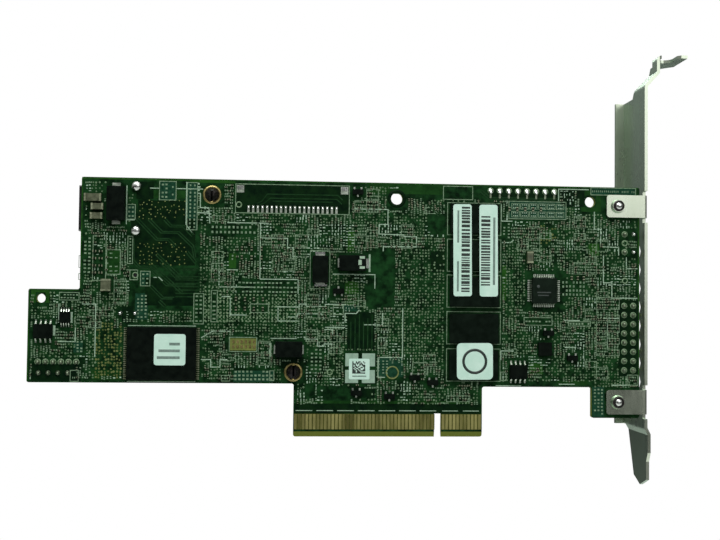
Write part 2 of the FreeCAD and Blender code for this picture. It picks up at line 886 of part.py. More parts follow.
# -------------------------------------------------------------- SAS receptacle
def make_sas_receptacle():
    middle_u = sas_mouth_u + sas_length / 2
    body = block(middle_u, sas_centre_v, sas_length, sas_width, 0, sas_height)
    cavity_u = sas_mouth_u + sas_cavity_depth / 2
    cavity = block(cavity_u, sas_centre_v, sas_cavity_depth, sas_width - 2 * sas_wall,
                   sas_wall, sas_height - sas_wall)
    tools = [cavity]
    slot_u = sas_mouth_u + sas_cavity_depth + sas_slot_depth / 2
    levels = [(sas_height + s * sas_slot_spacing) / 2 for s in (-1, 1)]
    for level in levels:
        low = level - sas_slot_height / 2
        tools.append(block(slot_u, sas_centre_v, sas_slot_depth, sas_slot_length,
                           low, low + sas_slot_height))
    save("sas_housing", [body.cut(tools)])

    contacts = []
    for level in levels:
        for s in (1, -1):
            face = level + s * sas_slot_height / 2
            low = min(face, face - s * sas_contact_thick)
            for n in range(sas_contacts_per_side):
                v = sas_centre_v + (n - (sas_contacts_per_side - 1) / 2) * sas_contact_pitch
                contacts.append(block(slot_u, v, sas_slot_depth, sas_contact_width,
                                      low, low + sas_contact_thick))
    save("sas_contacts", contacts)

    # folded cage: roof and two walls over the housing, each wall with a leg
    shell = block(middle_u, sas_centre_v, sas_length, sas_width + 2 * shell_thick,
                  0, sas_height + shell_thick)
    window = block(cavity_u, sas_centre_v, shell_window_length, shell_window_width,
                   sas_height, sas_height + overcut)
    shell = shell.cut([body, window])
    legs = [block(u, v, leg_width, shell_thick, -board_thick, 0) for u, v in peg_places()]
    save("sas_shell", [fuse([shell] + legs)])


# ---------------------------------------------------- memory and logic packages
def memory_rows():
    return [memory_first_v + n * memory_pitch for n in range(memory_count)]


def make_memory():
    for name, side, rows in (
            ("memory_chips_back", -1, memory_rows()),
            ("memory_chips_front", 1, memory_rows()[:memory_front_count])):
        chips = []
        for v in rows:
            chips.append(block(memory_u, v, memory_width, memory_height,
                               memory_gap, memory_gap + memory_thick, side))
        save(name, chips)


def lead_row(u, v, along_u, along_v, top, pitch, count, lead_width, reach, foot, ends, side=-1):
    """Gull-wing leads on two opposite sides of a package body.

    ends is "u" where the leads leave the sides that face along u, else "v".
    """
    leads = []
    middle = top / 2
    half = along_u / 2 if ends == "u" else along_v / 2
    shape = [
        (0, middle + lead_thick / 2), (reach - foot, lead_thick), (reach, lead_thick), (reach, 0),
        (reach - foot - lead_thick, 0), (0, middle - lead_thick / 2),
    ]
    for s in (1, -1):
        for n in range(count):
            offset = (n - (count - 1) / 2) * pitch
            ring = []
            for out, height in shape:
                y = rise(height, side)
                if ends == "u":
                    ring.append(Vector(x_at(u + s * (half + out)), y, v + offset - lead_width / 2))
                else:
                    ring.append(Vector(x_at(u + offset - lead_width / 2), y, v + s * (half + out)))
            face = Part.Face(Part.makePolygon(ring + ring[:1]))
            way = Vector(0, 0, lead_width) if ends == "u" else Vector(lead_width, 0, 0)
            leads.append(face.extrude(way))
    return leads


def moulded_body(u, v, along_u, along_v, low, top, side=-1):
    """A moulded package: its four sides slope a little away from the parting line."""
    middle = (low + top) / 2
    slope = min(mould_slope, (top - low) / 6)

    def ring(height, inset):
        y = rise(height, side)
        du = along_u / 2 - inset
        dv = along_v / 2 - inset
        corners = [(-du, -dv), (du, -dv), (du, dv), (-du, dv)]
        points = [Vector(x_at(u + a), y, v + b) for a, b in corners]
        return Part.makePolygon(points + points[:1])

    lower = Part.makeLoft([ring(low, slope), ring(middle, 0)], True, True)
    upper = Part.makeLoft([ring(middle, 0), ring(top, slope)], True, True)
    return fuse([lower, upper])


def make_flash():
    body = moulded_body(flash_u, flash_v, flash_body_u, flash_body_v, package_gap, flash_top)
    save("flash_memory", [body])
    leads = lead_row(flash_u, flash_v, flash_body_u, flash_body_v, flash_top, flash_lead_pitch,
                     flash_leads_per_side, flash_lead_width, flash_lead_reach, flash_lead_foot, "u")
    save("flash_memory_leads", leads)


def make_logic():
    body = moulded_body(logic_u, logic_v, logic_body, logic_body, package_gap, logic_top)
    save("logic_controller", [body])
    leads = []
    for ends in ("u", "v"):
        leads += lead_row(logic_u, logic_v, logic_body, logic_body, logic_top, logic_lead_pitch,
                          logic_leads_per_side, logic_lead_width, logic_lead_reach, logic_lead_foot, ends)
    save("logic_controller_leads", leads)


def make_small_outline():
    bodies = []
    leads = []
    for u, v, along_u, along_v, top, pitch in small_outline:
        bodies.append(moulded_body(u, v, along_u, along_v, package_gap, top))
        leads += lead_row(u, v, along_u, along_v, top, pitch, small_leads_per_side,
                          pitch * small_lead_share, small_lead_reach, small_lead_foot, "v")
    save("small_outline_chips", bodies)
    save("small_outline_leads", leads)


def make_qfn():
    save("flat_no_lead_chip", [block(qfn_u, qfn_v, qfn_size, qfn_size, 0, qfn_thick, -1)])


def make_transistors():
    bodies = []
    leads = []
    for u, v, way in transistors:
        bodies.append(block(u, v, transistor_body_u, transistor_body_v, package_gap, transistor_top, -1))
        edge = transistor_body_v / 2 + transistor_lead_reach / 2
        for offset in (-transistor_lead_pitch / 2, transistor_lead_pitch / 2):
            leads.append(block(u + offset, v + way * edge, transistor_lead_width, transistor_lead_reach,
                               0, transistor_top / 2, -1))
        leads.append(block(u, v - way * edge, transistor_lead_width, transistor_lead_reach,
                           0, transistor_top / 2, -1))
    save("transistors", bodies)
    save("transistor_leads", leads)


# ------------------------------------------------------------- passive parts
def make_tantalums():
    bodies = []
    tabs = []
    for u, v, lies in tantalums:
        along_u = tantalum_length if lies else tantalum_width
        along_v = tantalum_width if lies else tantalum_length
        bodies.append(moulded_body(u, v, along_u, along_v, package_gap, tantalum_height))
        for s in (1, -1):
            out = s * (tantalum_length + tantalum_tab_reach) / 2
            if lies:
                place = (u + out, v, tantalum_tab_reach, tantalum_tab_width)
            else:
                place = (u, v + out, tantalum_tab_width, tantalum_tab_reach)
            tabs.append(block(*place, 0, tantalum_tab_height, -1))
    save("tantalum_capacitors", bodies)
    save("tantalum_terminals", tabs)


def make_choke():
    body = moulded_body(choke_u, choke_v, choke_width, choke_length, package_gap, choke_height)
    save("moulded_choke", [body])
    tabs = []
    for s in (1, -1):
        v = choke_v + s * (choke_length + choke_tab_reach) / 2
        tabs.append(block(choke_u, v, choke_tab_width, choke_tab_reach, 0, choke_tab_height, -1))
    save("choke_terminals", tabs)


def two_end_part(u, v, length, width, height, end, proud, lies, side):
    """A chip part between two plated ends that stand a little proud of it."""
    middle = length - 2 * end
    wide = width + 2 * proud
    ends = []
    if lies:
        body = block(u, v, middle, width, proud, height, side)
    else:
        body = block(u, v, width, middle, proud, height, side)
    for s in (1, -1):
        out = s * (middle + end) / 2
        place = (u + out, v, end, wide) if lies else (u, v + out, wide, end)
        ends.append(block(*place, 0, height + proud, side))
    return body, ends


def make_ceramics():
    bodies = []
    ends = []
    for u, v, length, width, lies in ceramics:
        body, pair = two_end_part(u, v, length, width, ceramic_height,
                                  ceramic_end, ceramic_end_proud, lies, -1)
        bodies.append(body)
        ends += pair
    save("ceramic_capacitors", bodies)
    save("ceramic_terminals", ends)


def make_chip_passives():
    for side, fields, place in ((-1, back_chip_fields, "back"), (1, front_chip_fields, "front")):
        bodies = []
        ends = []
        for u0, v0, across, up, pitch_u, pitch_v, lies in fields:
            for i in range(across):
                for j in range(up):
                    body, pair = two_end_part(u0 + i * pitch_u, v0 + j * pitch_v, chip_length, chip_width,
                                              chip_height, chip_end, chip_end_proud, lies, side)
                    bodies.append(body)
                    ends += pair
        save("chip_passives_" + place, bodies)
        save("chip_terminals_" + place, ends)


# ------------------------------------------------ power parts, component side
def make_inductors():
    bodies = []
    tabs = []
    for u, v in inductors:
        body = block(u, v, inductor_size, inductor_size, package_gap, inductor_height)
        bodies.append(body.makeChamfer(inductor_chamfer, edges_along(body, Vector(0, 1, 0))))
        for s in (1, -1):
            out = s * (inductor_size + inductor_tab_thick) / 2
            tabs.append(block(u, v + out, inductor_tab_width, inductor_tab_thick, 0, inductor_tab_rise))
    save("power_inductors", bodies)
    save("inductor_terminals", tabs)


def make_cans():
    bases = []
    shells = []
    for u, v in cans:
        base = block(u, v, can_base, can_base, 0, can_base_thick)
        upper = [e for e in edges_along(base, Vector(0, 1, 0)) if e.CenterOfMass.z > v]
        bases.append(base.makeChamfer(can_base_chamfer, upper))
        can = post(u, v, can_radius, board_thick + can_base_thick, board_thick + can_height)
        top = y_at(board_thick + can_height)
        rims = [e for e in can.Edges if e.Closed and abs(e.CenterOfMass.y - top) < 1e-4]
        shells.append(can.makeChamfer(can_round, rims))
    save("can_capacitor_bases", bases)
    save("can_capacitors", shells)


def make_switches():
    bodies = [block(u, v, switch_width, switch_length, 0, switch_height) for u, v in switches]
    save("power_switches", bodies)


def make_crystal():
    base = block(crystal_u, crystal_v, crystal_width, crystal_length, 0, crystal_height / 2)
    lid = block(crystal_u, crystal_v, crystal_width - 2 * crystal_rim, crystal_length - 2 * crystal_rim,
                crystal_height / 2, crystal_height)
    save("crystal", [fuse([base, lid])])


def make_buzzer():
    top = board_thick + buzzer_height
    case = post(buzzer_u, buzzer_v, buzzer_radius, board_thick, top)
    port = post(buzzer_u, buzzer_v, buzzer_port, top - buzzer_port_depth, top + overcut)
    save("buzzer", [case.cut(port)])
    pins = [flat_sided(u, v, buzzer_pin_radius, board_thick, 0, sides=6) for u, v in buzzer_pin_places()]
    save("buzzer_pins", pins)


def make_lamps():
    lamp_solids = [block(u, v, lamp_width, lamp_length, 0, lamp_height) for u, v in lamps]
    save("status_lamps", lamp_solids)


# -------------------------------------------------------------- pin headers
def make_headers():
    bodies = []
    posts = []
    for u0, v0, across, up, pitch in headers:
        width = (across - 1) * pitch + min(header_body, pitch)
        height = (up - 1) * pitch + min(header_body, pitch)
        middle_u = u0 + (across - 1) * pitch / 2
        middle_v = v0 + (up - 1) * pitch / 2
        body = block(middle_u, middle_v, width, height, 0, header_body)
        holes = []
        for i in range(across):
            for j in range(up):
                u = u0 + i * pitch
                v = v0 + j * pitch
                holes.append(block(u, v, post_side, post_side, -overcut, header_body + overcut))
                posts.append(block(u, v, post_side, post_side, -board_thick, post_top))
        bodies.append(body.cut(holes))
    save("header_bodies", bodies)
    save("header_pins", posts)


def make_solder_joints():
    joints = []
    for u, v in header_places() + buzzer_pin_places():
        joints.append(flat_sided(u, v, joint_radius, 0, -joint_height, joint_top_radius, sides=6))
    for u, v in peg_places():
        joints.append(flat_sided(u, v, peg_joint_radius, 0, -peg_joint_height, peg_joint_top_radius))
    save("solder_joints", joints)


# ------------------------------------------------------------------- labels
def label(u, v, along_u, along_v, height, tilt, corner=label_corner):
    """A thin sheet stuck on whatever stands at a height above the solder face."""
    sheet_solid = block(u, v, along_u, along_v, height, height + label_thick, -1)
    sheet_solid = sheet_solid.makeFillet(corner, edges_along(sheet_solid, Vector(0, 1, 0)))
    sheet_solid.rotate(Vector(x_at(u), 0, v), Vector(0, 1, 0), tilt)
    return sheet_solid


def make_labels():
    chip_top = memory_gap + memory_thick
    for name, u in (("barcode_label_left", barcode_left_u), ("barcode_label_right", barcode_right_u)):
        save(name, [label(u, barcode_v, barcode_width, barcode_length, chip_top, -barcode_tilt)])
    save("ring_label", [label(memory_u + mark_label_offset, mark_label_v, mark_label_size, mark_label_size,
                              chip_top, -barcode_tilt, mark_label_corner)])
    size = flash_label_size
    save("flash_label", [label(flash_label_u, flash_label_v, size, size, flash_top, 0)])
    save("code_label", [label(code_label_u, code_label_v, code_label_size, code_label_size, 0, 0,
                              label_corner / 2)])


make_board()
make_contacts()
make_tinned_pads()
make_bracket()
make_bracket_screws()
make_processor()
make_heatsink()
make_push_pins()
make_sas_receptacle()
make_memory()
make_flash()
make_logic()
make_small_outline()
make_qfn()
make_transistors()
make_tantalums()
make_choke()
make_ceramics()
make_chip_passives()
make_inductors()
make_cans()
make_switches()
make_crystal()
make_buzzer()
make_lamps()
make_headers()
make_solder_joints()
make_labels()
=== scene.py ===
import math
import random

import bpy
from mathutils import Matrix, Vector


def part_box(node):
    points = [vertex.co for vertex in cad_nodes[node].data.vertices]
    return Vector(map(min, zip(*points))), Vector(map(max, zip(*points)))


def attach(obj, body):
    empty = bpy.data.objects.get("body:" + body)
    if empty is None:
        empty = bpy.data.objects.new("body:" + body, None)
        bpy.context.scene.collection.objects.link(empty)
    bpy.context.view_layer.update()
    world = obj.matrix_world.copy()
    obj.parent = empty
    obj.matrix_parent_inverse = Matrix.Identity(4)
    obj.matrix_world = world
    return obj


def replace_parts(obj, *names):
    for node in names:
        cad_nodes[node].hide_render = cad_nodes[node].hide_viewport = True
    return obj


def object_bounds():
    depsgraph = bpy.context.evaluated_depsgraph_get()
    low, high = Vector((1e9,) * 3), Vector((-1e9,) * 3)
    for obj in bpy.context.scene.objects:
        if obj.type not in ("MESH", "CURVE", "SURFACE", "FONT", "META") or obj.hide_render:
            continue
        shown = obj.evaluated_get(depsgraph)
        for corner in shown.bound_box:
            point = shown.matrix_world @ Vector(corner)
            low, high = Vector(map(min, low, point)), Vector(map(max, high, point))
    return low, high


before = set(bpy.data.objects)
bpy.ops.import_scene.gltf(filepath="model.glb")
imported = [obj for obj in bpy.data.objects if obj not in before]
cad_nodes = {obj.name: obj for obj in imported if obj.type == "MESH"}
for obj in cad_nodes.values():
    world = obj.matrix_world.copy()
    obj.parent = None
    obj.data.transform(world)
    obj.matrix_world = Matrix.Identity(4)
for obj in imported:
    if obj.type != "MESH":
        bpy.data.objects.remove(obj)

cad_low, cad_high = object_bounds()
board_low, board_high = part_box("pcb")
MM = 0.001
BACK = -1
FRONT = 1
# heights over the board in mm
legend_thick = 0.03
land_thick = 0.03
ring_thick = 0.04
pad_thick = 0.05
pour_thick = 0.01
track_thick = 0.036
# neighbours differ in height by this much, so that two that cross never share a plane
step = 0.0012


# ------------------------------------------------------------------ placing
def at(u, v, lift, side=BACK):
    """A point u along and v up the board, lifted in mm from its solder (BACK) or component face."""
    face = board_low.y - lift * MM if side == BACK else board_high.y + lift * MM
    return Vector((board_low.x + u * MM, face, v * MM))


def hue(code):
    """sRGB hex to linear RGBA."""
    parts = [int(code[i:i + 2], 16) / 255 for i in (1, 3, 5)]
    line = [c / 12.92 if c <= 0.04045 else ((c + 0.055) / 1.055) ** 2.4 for c in parts]
    return (*line, 1.0)


def add(tree, kind, inputs=None, **settings):
    """A node with its settings; an input is a value or another node's output."""
    made = tree.nodes.new(kind)
    for key, value in settings.items():
        setattr(made, key, value)
    for key, value in (inputs or {}).items():
        if isinstance(value, bpy.types.NodeSocket):
            tree.links.new(value, made.inputs[key])
        else:
            made.inputs[key].default_value = value
    return made


# ---------------------------------------------------------------- materials
def surface(name, low, high, grain, rough, metallic=0.0, bump=0.0, stretch=(1, 1, 1), ior=1.5,
            shine=0.5, fine=None, spread=(0.35, 0.65)):
    """A finish whose colour, gloss and relief drift over the piece.

    grain is the size in mm of the drift, fine that of the relief, stretch draws it out along an axis.
    """
    made = bpy.data.materials.new(name)
    made.use_nodes = True
    tree = made.node_tree
    tree.nodes.clear()
    place = add(tree, "ShaderNodeTexCoord")
    drawn = add(tree, "ShaderNodeMapping", {"Vector": place.outputs["Object"], "Scale": stretch})
    drift = add(tree, "ShaderNodeTexNoise", {
        "Vector": drawn.outputs[0], "Scale": 1 / (grain * MM), "Detail": 5.0, "Roughness": 0.6})
    part = add(tree, "ShaderNodeMapRange", {
        "Value": drift.outputs["Fac"], "From Min": spread[0], "From Max": spread[1]})
    # the colour mixer's sockets: 0 factor, 6 and 7 colours, output 2
    colour = add(tree, "ShaderNodeMix", {0: part.outputs[0], 6: hue(low), 7: hue(high)}, data_type="RGBA")
    gloss = add(tree, "ShaderNodeMapRange", {
        "Value": drift.outputs["Fac"], "From Min": spread[0], "From Max": spread[1],
        "To Min": rough[0], "To Max": rough[1]})
    shader = add(tree, "ShaderNodeBsdfPrincipled", {
        "Base Color": colour.outputs[2], "Roughness": gloss.outputs[0], "Metallic": metallic})
    if not metallic:
        shader.inputs["IOR"].default_value = ior
        shader.inputs["Specular IOR Level"].default_value = shine
    if bump:
        relief = add(tree, "ShaderNodeTexNoise", {
            "Vector": drawn.outputs[0], "Scale": 1 / ((fine or grain) * MM), "Detail": 3.0})
        raised = add(tree, "ShaderNodeBump", {
            "Height": relief.outputs["Fac"], "Strength": bump, "Distance": 0.05 * MM})
        tree.links.new(raised.outputs[0], shader.inputs["Normal"])
    out = add(tree, "ShaderNodeOutputMaterial")
    tree.links.new(shader.outputs[0], out.inputs["Surface"])
    return made


def by_face(made, axis, beyond, square_from=0.5):
    """The finish keeps its colour on faces square to an axis; its other faces take one colour."""
    tree = made.node_tree
    shader = next(n for n in tree.nodes if n.type == "BSDF_PRINCIPLED")
    place = next(n for n in tree.nodes if n.type == "TEX_COORD")
    colour = shader.inputs["Base Color"].links[0].from_socket
    normal = add(tree, "ShaderNodeSeparateXYZ", {"Vector": place.outputs["Normal"]})
    facing = add(tree, "ShaderNodeMath", {0: normal.outputs[axis]}, operation="ABSOLUTE")
    square = add(tree, "ShaderNodeMath", {0: facing.outputs[0], 1: square_from}, operation="GREATER_THAN")
    pick = add(tree, "ShaderNodeMix", {0: square.outputs[0], 6: hue(beyond), 7: colour}, data_type="RGBA")
    tree.links.new(pick.outputs[2], shader.inputs["Base Color"])
    return made


FINISH = {
    # light-cured mask, roller coated over woven glass-epoxy: deep green with lighter
    # drifts where copper lies under it; the routed edges are bare resin, dry and yellower
    "mask": by_face(
        surface("green_solder_mask_on_glass_epoxy", "#061a0a", "#173c1c", 2.2, (0.42, 0.55),
                bump=0.12, ior=1.52, shine=0.03, fine=0.5, spread=(0.36, 0.64)),
        "Y", "#6a7430", 0.985),
    # hard gold over nickel: olive in soft light, with fine scratches from the slot along its
    # length, drawn 0.2 mm wide, because real ones are too fine to show
    "gold": surface("hard_gold_plate", "#8c8950", "#b3ad70", 3.0, (0.34, 0.5), 1.0, 0.25,
                    (1, 1, 0.15), fine=0.2),
    # the ring round a plated hole, soldered thinly over gold
    "ring_gold": surface("tinned_gold_ring", "#8d7f4e", "#b0a36c", 1.0, (0.3, 0.45), 1.0, 0.2, fine=0.3),
    # cold-rolled steel with dull nickel and faint rolling lines up the sheet; its folded tabs and sheared
    # edges, square to the card, take a painted highlight, and the plate's other faces a greyer painted shade,
    # both with a painted green cast of the light
    "bracket": by_face(
        surface("nickel_steel_painted_highlight_and_shade", "#c3cdb9", "#dfe8d4", 7.0, (0.22, 0.32), 1.0, 0.15,
                (1, 1, 0.25), fine=0.35),
        "Y", "#b0c8b2"),
    # barrel-plated zinc: grey, with small dull dents from tumbling, and darkened as painted shade of the
    # recess round the screw's end
    "screw": surface("zinc_screw_steel_darkened_as_painted_shade", "#7a8378", "#9ea79b", 1.2, (0.24, 0.38), 1.0, 0.1),
    # hard-drawn wire, plated after coiling: an even, clean grey
    "spring": surface("plated_spring_wire", "#8d8f8e", "#b5b7b5", 1.0, (0.25, 0.4), 1.0),
    # reflowed solder: bright and slightly wrinkled
    "solder": surface("reflowed_tin_solder", "#d5d9d4", "#f4f6f2", 0.6, (0.12, 0.26), 1.0, 0.3, fine=0.45),
    # a rougher copy of the reflowed solder in a darker, greener colour: painted shade and a painted green
    # cast for the joints and tails that look dim
    "dull_solder": surface("tin_solder_painted_shade", "#687860", "#9ca890", 0.5, (0.34, 0.5), 1.0, 0.4, fine=0.3),
    # electroplated matte tin on stamped leads: pale and satin
    "tin": surface("matte_tin_plate", "#a9b5a6", "#d5decf", 0.8, (0.3, 0.45), 1.0, 0.1),
    # tin barrel-plated over silver paste on chip ends: rougher and olive
    "dull_tin": surface("barrel_plated_tin_ends", "#8b9276", "#aeb497", 0.8, (0.4, 0.55), 1.0, 0.1),
    # transfer-moulded epoxy: charcoal, satin, faintly mottled by its filler, which is drawn
    # 0.1 mm coarse so that it shows
    "epoxy": surface("transfer_moulded_epoxy", "#050a07", "#0d140f", 1.6, (0.45, 0.6),
                     bump=0.25, shine=0.04, fine=0.09),
    # the same compound from an etched mould: greyer
    "logic_epoxy": surface("etched_transfer_moulded_epoxy", "#0b150e", "#131f16", 1.6, (0.45, 0.6),
                           bump=0.25, shine=0.06, fine=0.09),
    # thin moulded package with broad, even flow marks
    "memory": surface("moulded_memory_package", "#050d07", "#0f1912", 2.4, (0.42, 0.55),
                      bump=0.2, shine=0.04, fine=0.1),
    # sintered ceramic chip bodies: olive beige, satin
    "beige_ceramic": surface("sintered_beige_ceramic", "#3c422e", "#575d44", 0.9, (0.4, 0.55),
                             bump=0.15, fine=0.1),
    # glass fired over a printed film: near black, a little glossier than epoxy
    "dark_chip": surface("glazed_thick_film_chip", "#0a100a", "#1c2619", 0.5, (0.3, 0.45), shine=0.12),
    # extruded, then cut across into pins: pale, with saw lines that run across the extrusion
    "aluminium": surface("cross_cut_aluminium", "#b2b6b6", "#c0c4c4", 9.0, (0.32, 0.38), 1.0, 0.1,
                         (1, 0.2, 1), fine=0.3),
    # deep-drawn can: bright and smooth
    "can": surface("drawn_aluminium_can", "#b3b6b6", "#dcdedd", 1.8, (0.2, 0.32), 1.0),
    # laminated build-up board under a clear green mask
    "substrate": surface("organic_package_substrate", "#1d4a2a", "#28603a", 2.0, (0.35, 0.5)),
    # stamped copper, nickel plated: a warm, even grey
    "lid": surface("nickel_plated_copper_lid", "#8f9088", "#b0b1a8", 3.0, (0.3, 0.45), 1.0),
    # cast silicone full of oxide powder: flat blue grey
    "thermal": surface("filled_silicone_pad", "#5d6673", "#737c89", 1.0, (0.7, 0.85), bump=0.2),
    # injection-moulded nylon: brownish black, satin
    "nylon": surface("black_moulded_nylon", "#0a0a09", "#191310", 1.4, (0.4, 0.55),
                     bump=0.15, shine=0.3, fine=0.15),
    # moulded liquid crystal polymer: its glass fibres leave a dry, grained black
    "polymer": surface("glass_filled_liquid_crystal_polymer", "#0b0c0c", "#181a1a", 1.2, (0.45, 0.6),
                       bump=0.2, shine=0.3, fine=0.12),
    # stamped and folded stainless, tinned: soft rolling lines along the cage
    "cage": surface("tinned_stainless_sheet", "#adb1ac", "#b9bdb8", 9.0, (0.3, 0.36), 1.0, 0.08,
                    (0.3, 1, 1)),
    # coated polyester film: flat white, with a painted green cast of the light in its colour
    "paper": surface("matt_white_label_painted_green_cast", "#b9dccb", "#c9e6d7", 3.5, (0.55, 0.65),
                     bump=0.1, fine=0.2),
    # cast clear epoxy over the lamp's chip: glossy, yellowish
    "lens": surface("clear_epoxy_lens", "#aab382", "#c4cc9c", 0.8, (0.15, 0.25)),
    # seam-welded nickel lid: a warm grey sheen
    "crystal": surface("nickel_plated_crystal_lid", "#9d9b8e", "#bab8ab", 1.0, (0.3, 0.45), 1.0),
    # screen-printed epoxy ink: chalky, thin enough to take the mask's green
    "ink": surface("screen_printed_legend_ink", "#7c9880", "#a3bda3", 0.9, (0.55, 0.7)),
    "soft_ink": surface("thin_legend_ink", "#4c694c", "#809a7b", 0.7, (0.55, 0.7)),
    # the same mask over tracks, bare laminate, ground copper, pads and nothing at all: it is
    # lighter and yellower the less copper lies under it, and bluer over tinned pads
    "covered_copper": surface("solder_mask_over_tracks", "#132f16", "#203f23", 1.5, (0.42, 0.55), shine=0.04),
    "bright_mask": surface("solder_mask_over_bare_laminate", "#173d12", "#25501b", 1.5, (0.42, 0.55),
                           shine=0.04),
    "mid_mask": surface("solder_mask_over_ground_copper", "#103010", "#1b4219", 1.8, (0.42, 0.55),
                        shine=0.04),
    "teal_mask": surface("solder_mask_over_pads", "#0f3020", "#1d4430", 0.9, (0.42, 0.55), shine=0.04),
    "dark_mask": surface("deep_green_solder_mask", "#04160a", "#0b250d", 2.0, (0.42, 0.55), shine=0.04),
    # mask pulled thin over a plated rim: a paler, smoother ring
    "via_ring": surface("mask_covered_via_ring", "#587552", "#829c79", 0.6, (0.45, 0.6), shine=0.3),
    "ochre_via": surface("thinly_masked_copper_via", "#5b6830", "#7d8750", 0.6, (0.45, 0.6), shine=0.3),
    # thermal transfer ribbon: black wax with soft edges, and grey where it printed faintly
    "print": surface("black_thermal_print", "#15231c", "#22302a", 0.7, (0.5, 0.6)),
    "grey_print": surface("faded_thermal_print", "#5c7268", "#788e84", 0.7, (0.5, 0.6)),
    # silver-filled ink, dry and pale
    "pale_land": surface("silver_filled_ground_land", "#7f9c88", "#93ae9a", 1.2, (0.5, 0.6)),
    # epoxy bleached grey by the laser
    "laser": surface("laser_marked_epoxy", "#2c3330", "#3b4440", 0.5, (0.55, 0.7)),
    # glass-epoxy bared by etching: dark olive between the contacts
    "dark_laminate": surface("etched_glass_epoxy_laminate", "#3a3d10", "#4d5118", 1.2, (0.55, 0.75),
                             bump=0.2, shine=0.2),
    # cut glass-epoxy: dull and yellowish green
    "laminate": surface("bare_glass_epoxy_laminate", "#55601c", "#6f7730", 1.2, (0.55, 0.75), bump=0.2),
}

NODE_FINISH = {
    "pcb": "mask", "edge_contacts_back": "gold", "edge_contacts_front": "gold", "tinned_pads": "tin",
    "bracket": "bracket", "bracket_screws": "screw", "processor_substrate": "substrate",
    "processor_lid": "lid", "thermal_pad": "thermal", "heatsink": "aluminium", "push_pins": "nylon",
    "push_pin_springs": "spring", "sas_housing": "polymer", "sas_contacts": "gold", "sas_shell": "cage",
    "memory_chips_back": "memory", "memory_chips_front": "memory", "flash_memory": "epoxy",
    "flash_memory_leads": "dull_tin", "logic_controller": "logic_epoxy", "logic_controller_leads": "tin",
    "small_outline_chips": "epoxy", "small_outline_leads": "tin", "flat_no_lead_chip": "epoxy",
    "transistors": "epoxy", "transistor_leads": "tin", "tantalum_capacitors": "epoxy",
    "tantalum_terminals": "tin", "moulded_choke": "epoxy", "choke_terminals": "tin",
    "ceramic_capacitors": "beige_ceramic", "ceramic_terminals": "dull_tin", "chip_passives_back": "dark_chip",
    "chip_terminals_back": "dull_tin", "chip_passives_front": "beige_ceramic", "chip_terminals_front": "tin",
    "power_inductors": "polymer", "inductor_terminals": "tin", "can_capacitor_bases": "nylon",
    "can_capacitors": "can", "power_switches": "epoxy", "crystal": "crystal", "buzzer": "nylon",
    "buzzer_pins": "tin", "status_lamps": "lens", "header_bodies": "polymer", "header_pins": "gold",
    "solder_joints": "solder", "barcode_label_left": "paper", "barcode_label_right": "paper",
    "ring_label": "paper", "flash_label": "paper", "code_label": "paper",
}
for node_name, finish_name in NODE_FINISH.items():
    for material_slot in cad_nodes[node_name].material_slots:
        material_slot.material = FINISH[finish_name]


# ----------------------------------------------------------- making pieces
def keep(name, mesh, finish):
    """A finished mesh as a piece of the card."""
    mesh.materials.clear()
    mesh.materials.append(FINISH[finish])
    piece = bpy.data.objects.new(name, mesh)
    bpy.context.scene.collection.objects.link(piece)
    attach(piece, "root")
    return piece


def plain(name, points, faces, side, finish, smooth=False):
    """A piece from points and faces whose outward side was worked out for the component face."""
    mesh = bpy.data.meshes.new(name)
    mesh.from_pydata(points, [], faces if side == FRONT else [face[::-1] for face in faces])
    mesh.update()
    for face in mesh.polygons:
        face.use_smooth = smooth
    return keep(name, mesh, finish)


def slabs(name, items, low, high, side, finish):
    """Thin closed blocks lying on a face: (u, v, along u, along v, turn in degrees) each."""
    points, faces = [], []
    for n, (u, v, along_u, along_v, turn) in enumerate(items):
        c, s = math.cos(math.radians(turn)), math.sin(math.radians(turn))
        start = len(points)
        for lift in (low, high + step * (n % 5)):
            for a, b in ((-1, -1), (1, -1), (1, 1), (-1, 1)):
                du, dv = a * along_u / 2, b * along_v / 2
                points.append(at(u + du * c - dv * s, v + du * s + dv * c, lift, side))
        for face in ((0, 1, 2, 3), (7, 6, 5, 4), (0, 4, 5, 1), (1, 5, 6, 2), (2, 6, 7, 3), (3, 7, 4, 0)):
            faces.append([start + i for i in face])
    return plain(name, points, faces, side, finish)


def ribbons(name, lines, width, high, side, finish):
    """Printed or etched lines with mitred corners; a line that ends where it starts is a closed frame."""
    points, faces = [], []
    for n, line in enumerate(lines):
        closed = line[0] == line[-1]
        path = [Vector(p) for p in (line[:-1] if closed else line)]
        count = len(path)
        start = len(points)
        for i, p in enumerate(path):
            before = path[i - 1] if closed or i else None
            after = path[(i + 1) % count] if closed or i < count - 1 else None
            runs = [(b - a).normalized() for a, b in ((before, p), (p, after))
                    if a is not None and b is not None]
            sides = [Vector((-run.y, run.x)) for run in runs]
            across = sum(sides, Vector((0, 0))).normalized()
            reach = width / 2 / max(0.4, across.dot(sides[0]))
            for lift in (0.0, high + step * (n % 7)):
                for sign in (1, -1):
                    q = p + across * reach * sign
                    points.append(at(q.x, q.y, lift, side))
        for i in range(count if closed else count - 1):
            a, b = start + 4 * i, start + 4 * ((i + 1) % count)
            for j, k in ((0, 1), (1, 3), (3, 2), (2, 0)):
                faces.append((a + j, a + k, b + k, b + j))
        if not closed:
            last = start + 4 * (count - 1)
            faces.append((start, start + 2, start + 3, start + 1))
            faces.append((last, last + 1, last + 3, last + 2))
    return plain(name, points, faces, side, finish)


def frame_of(u0, v0, u1, v1):
    return [(u0, v0), (u1, v0), (u1, v1), (u0, v1), (u0, v0)]


def washer(inner, outer, low, high):
    """The closed profile of a flat ring, for a hollow lathe."""
    return [(inner, low), (outer, low), (outer, high), (inner, high)]


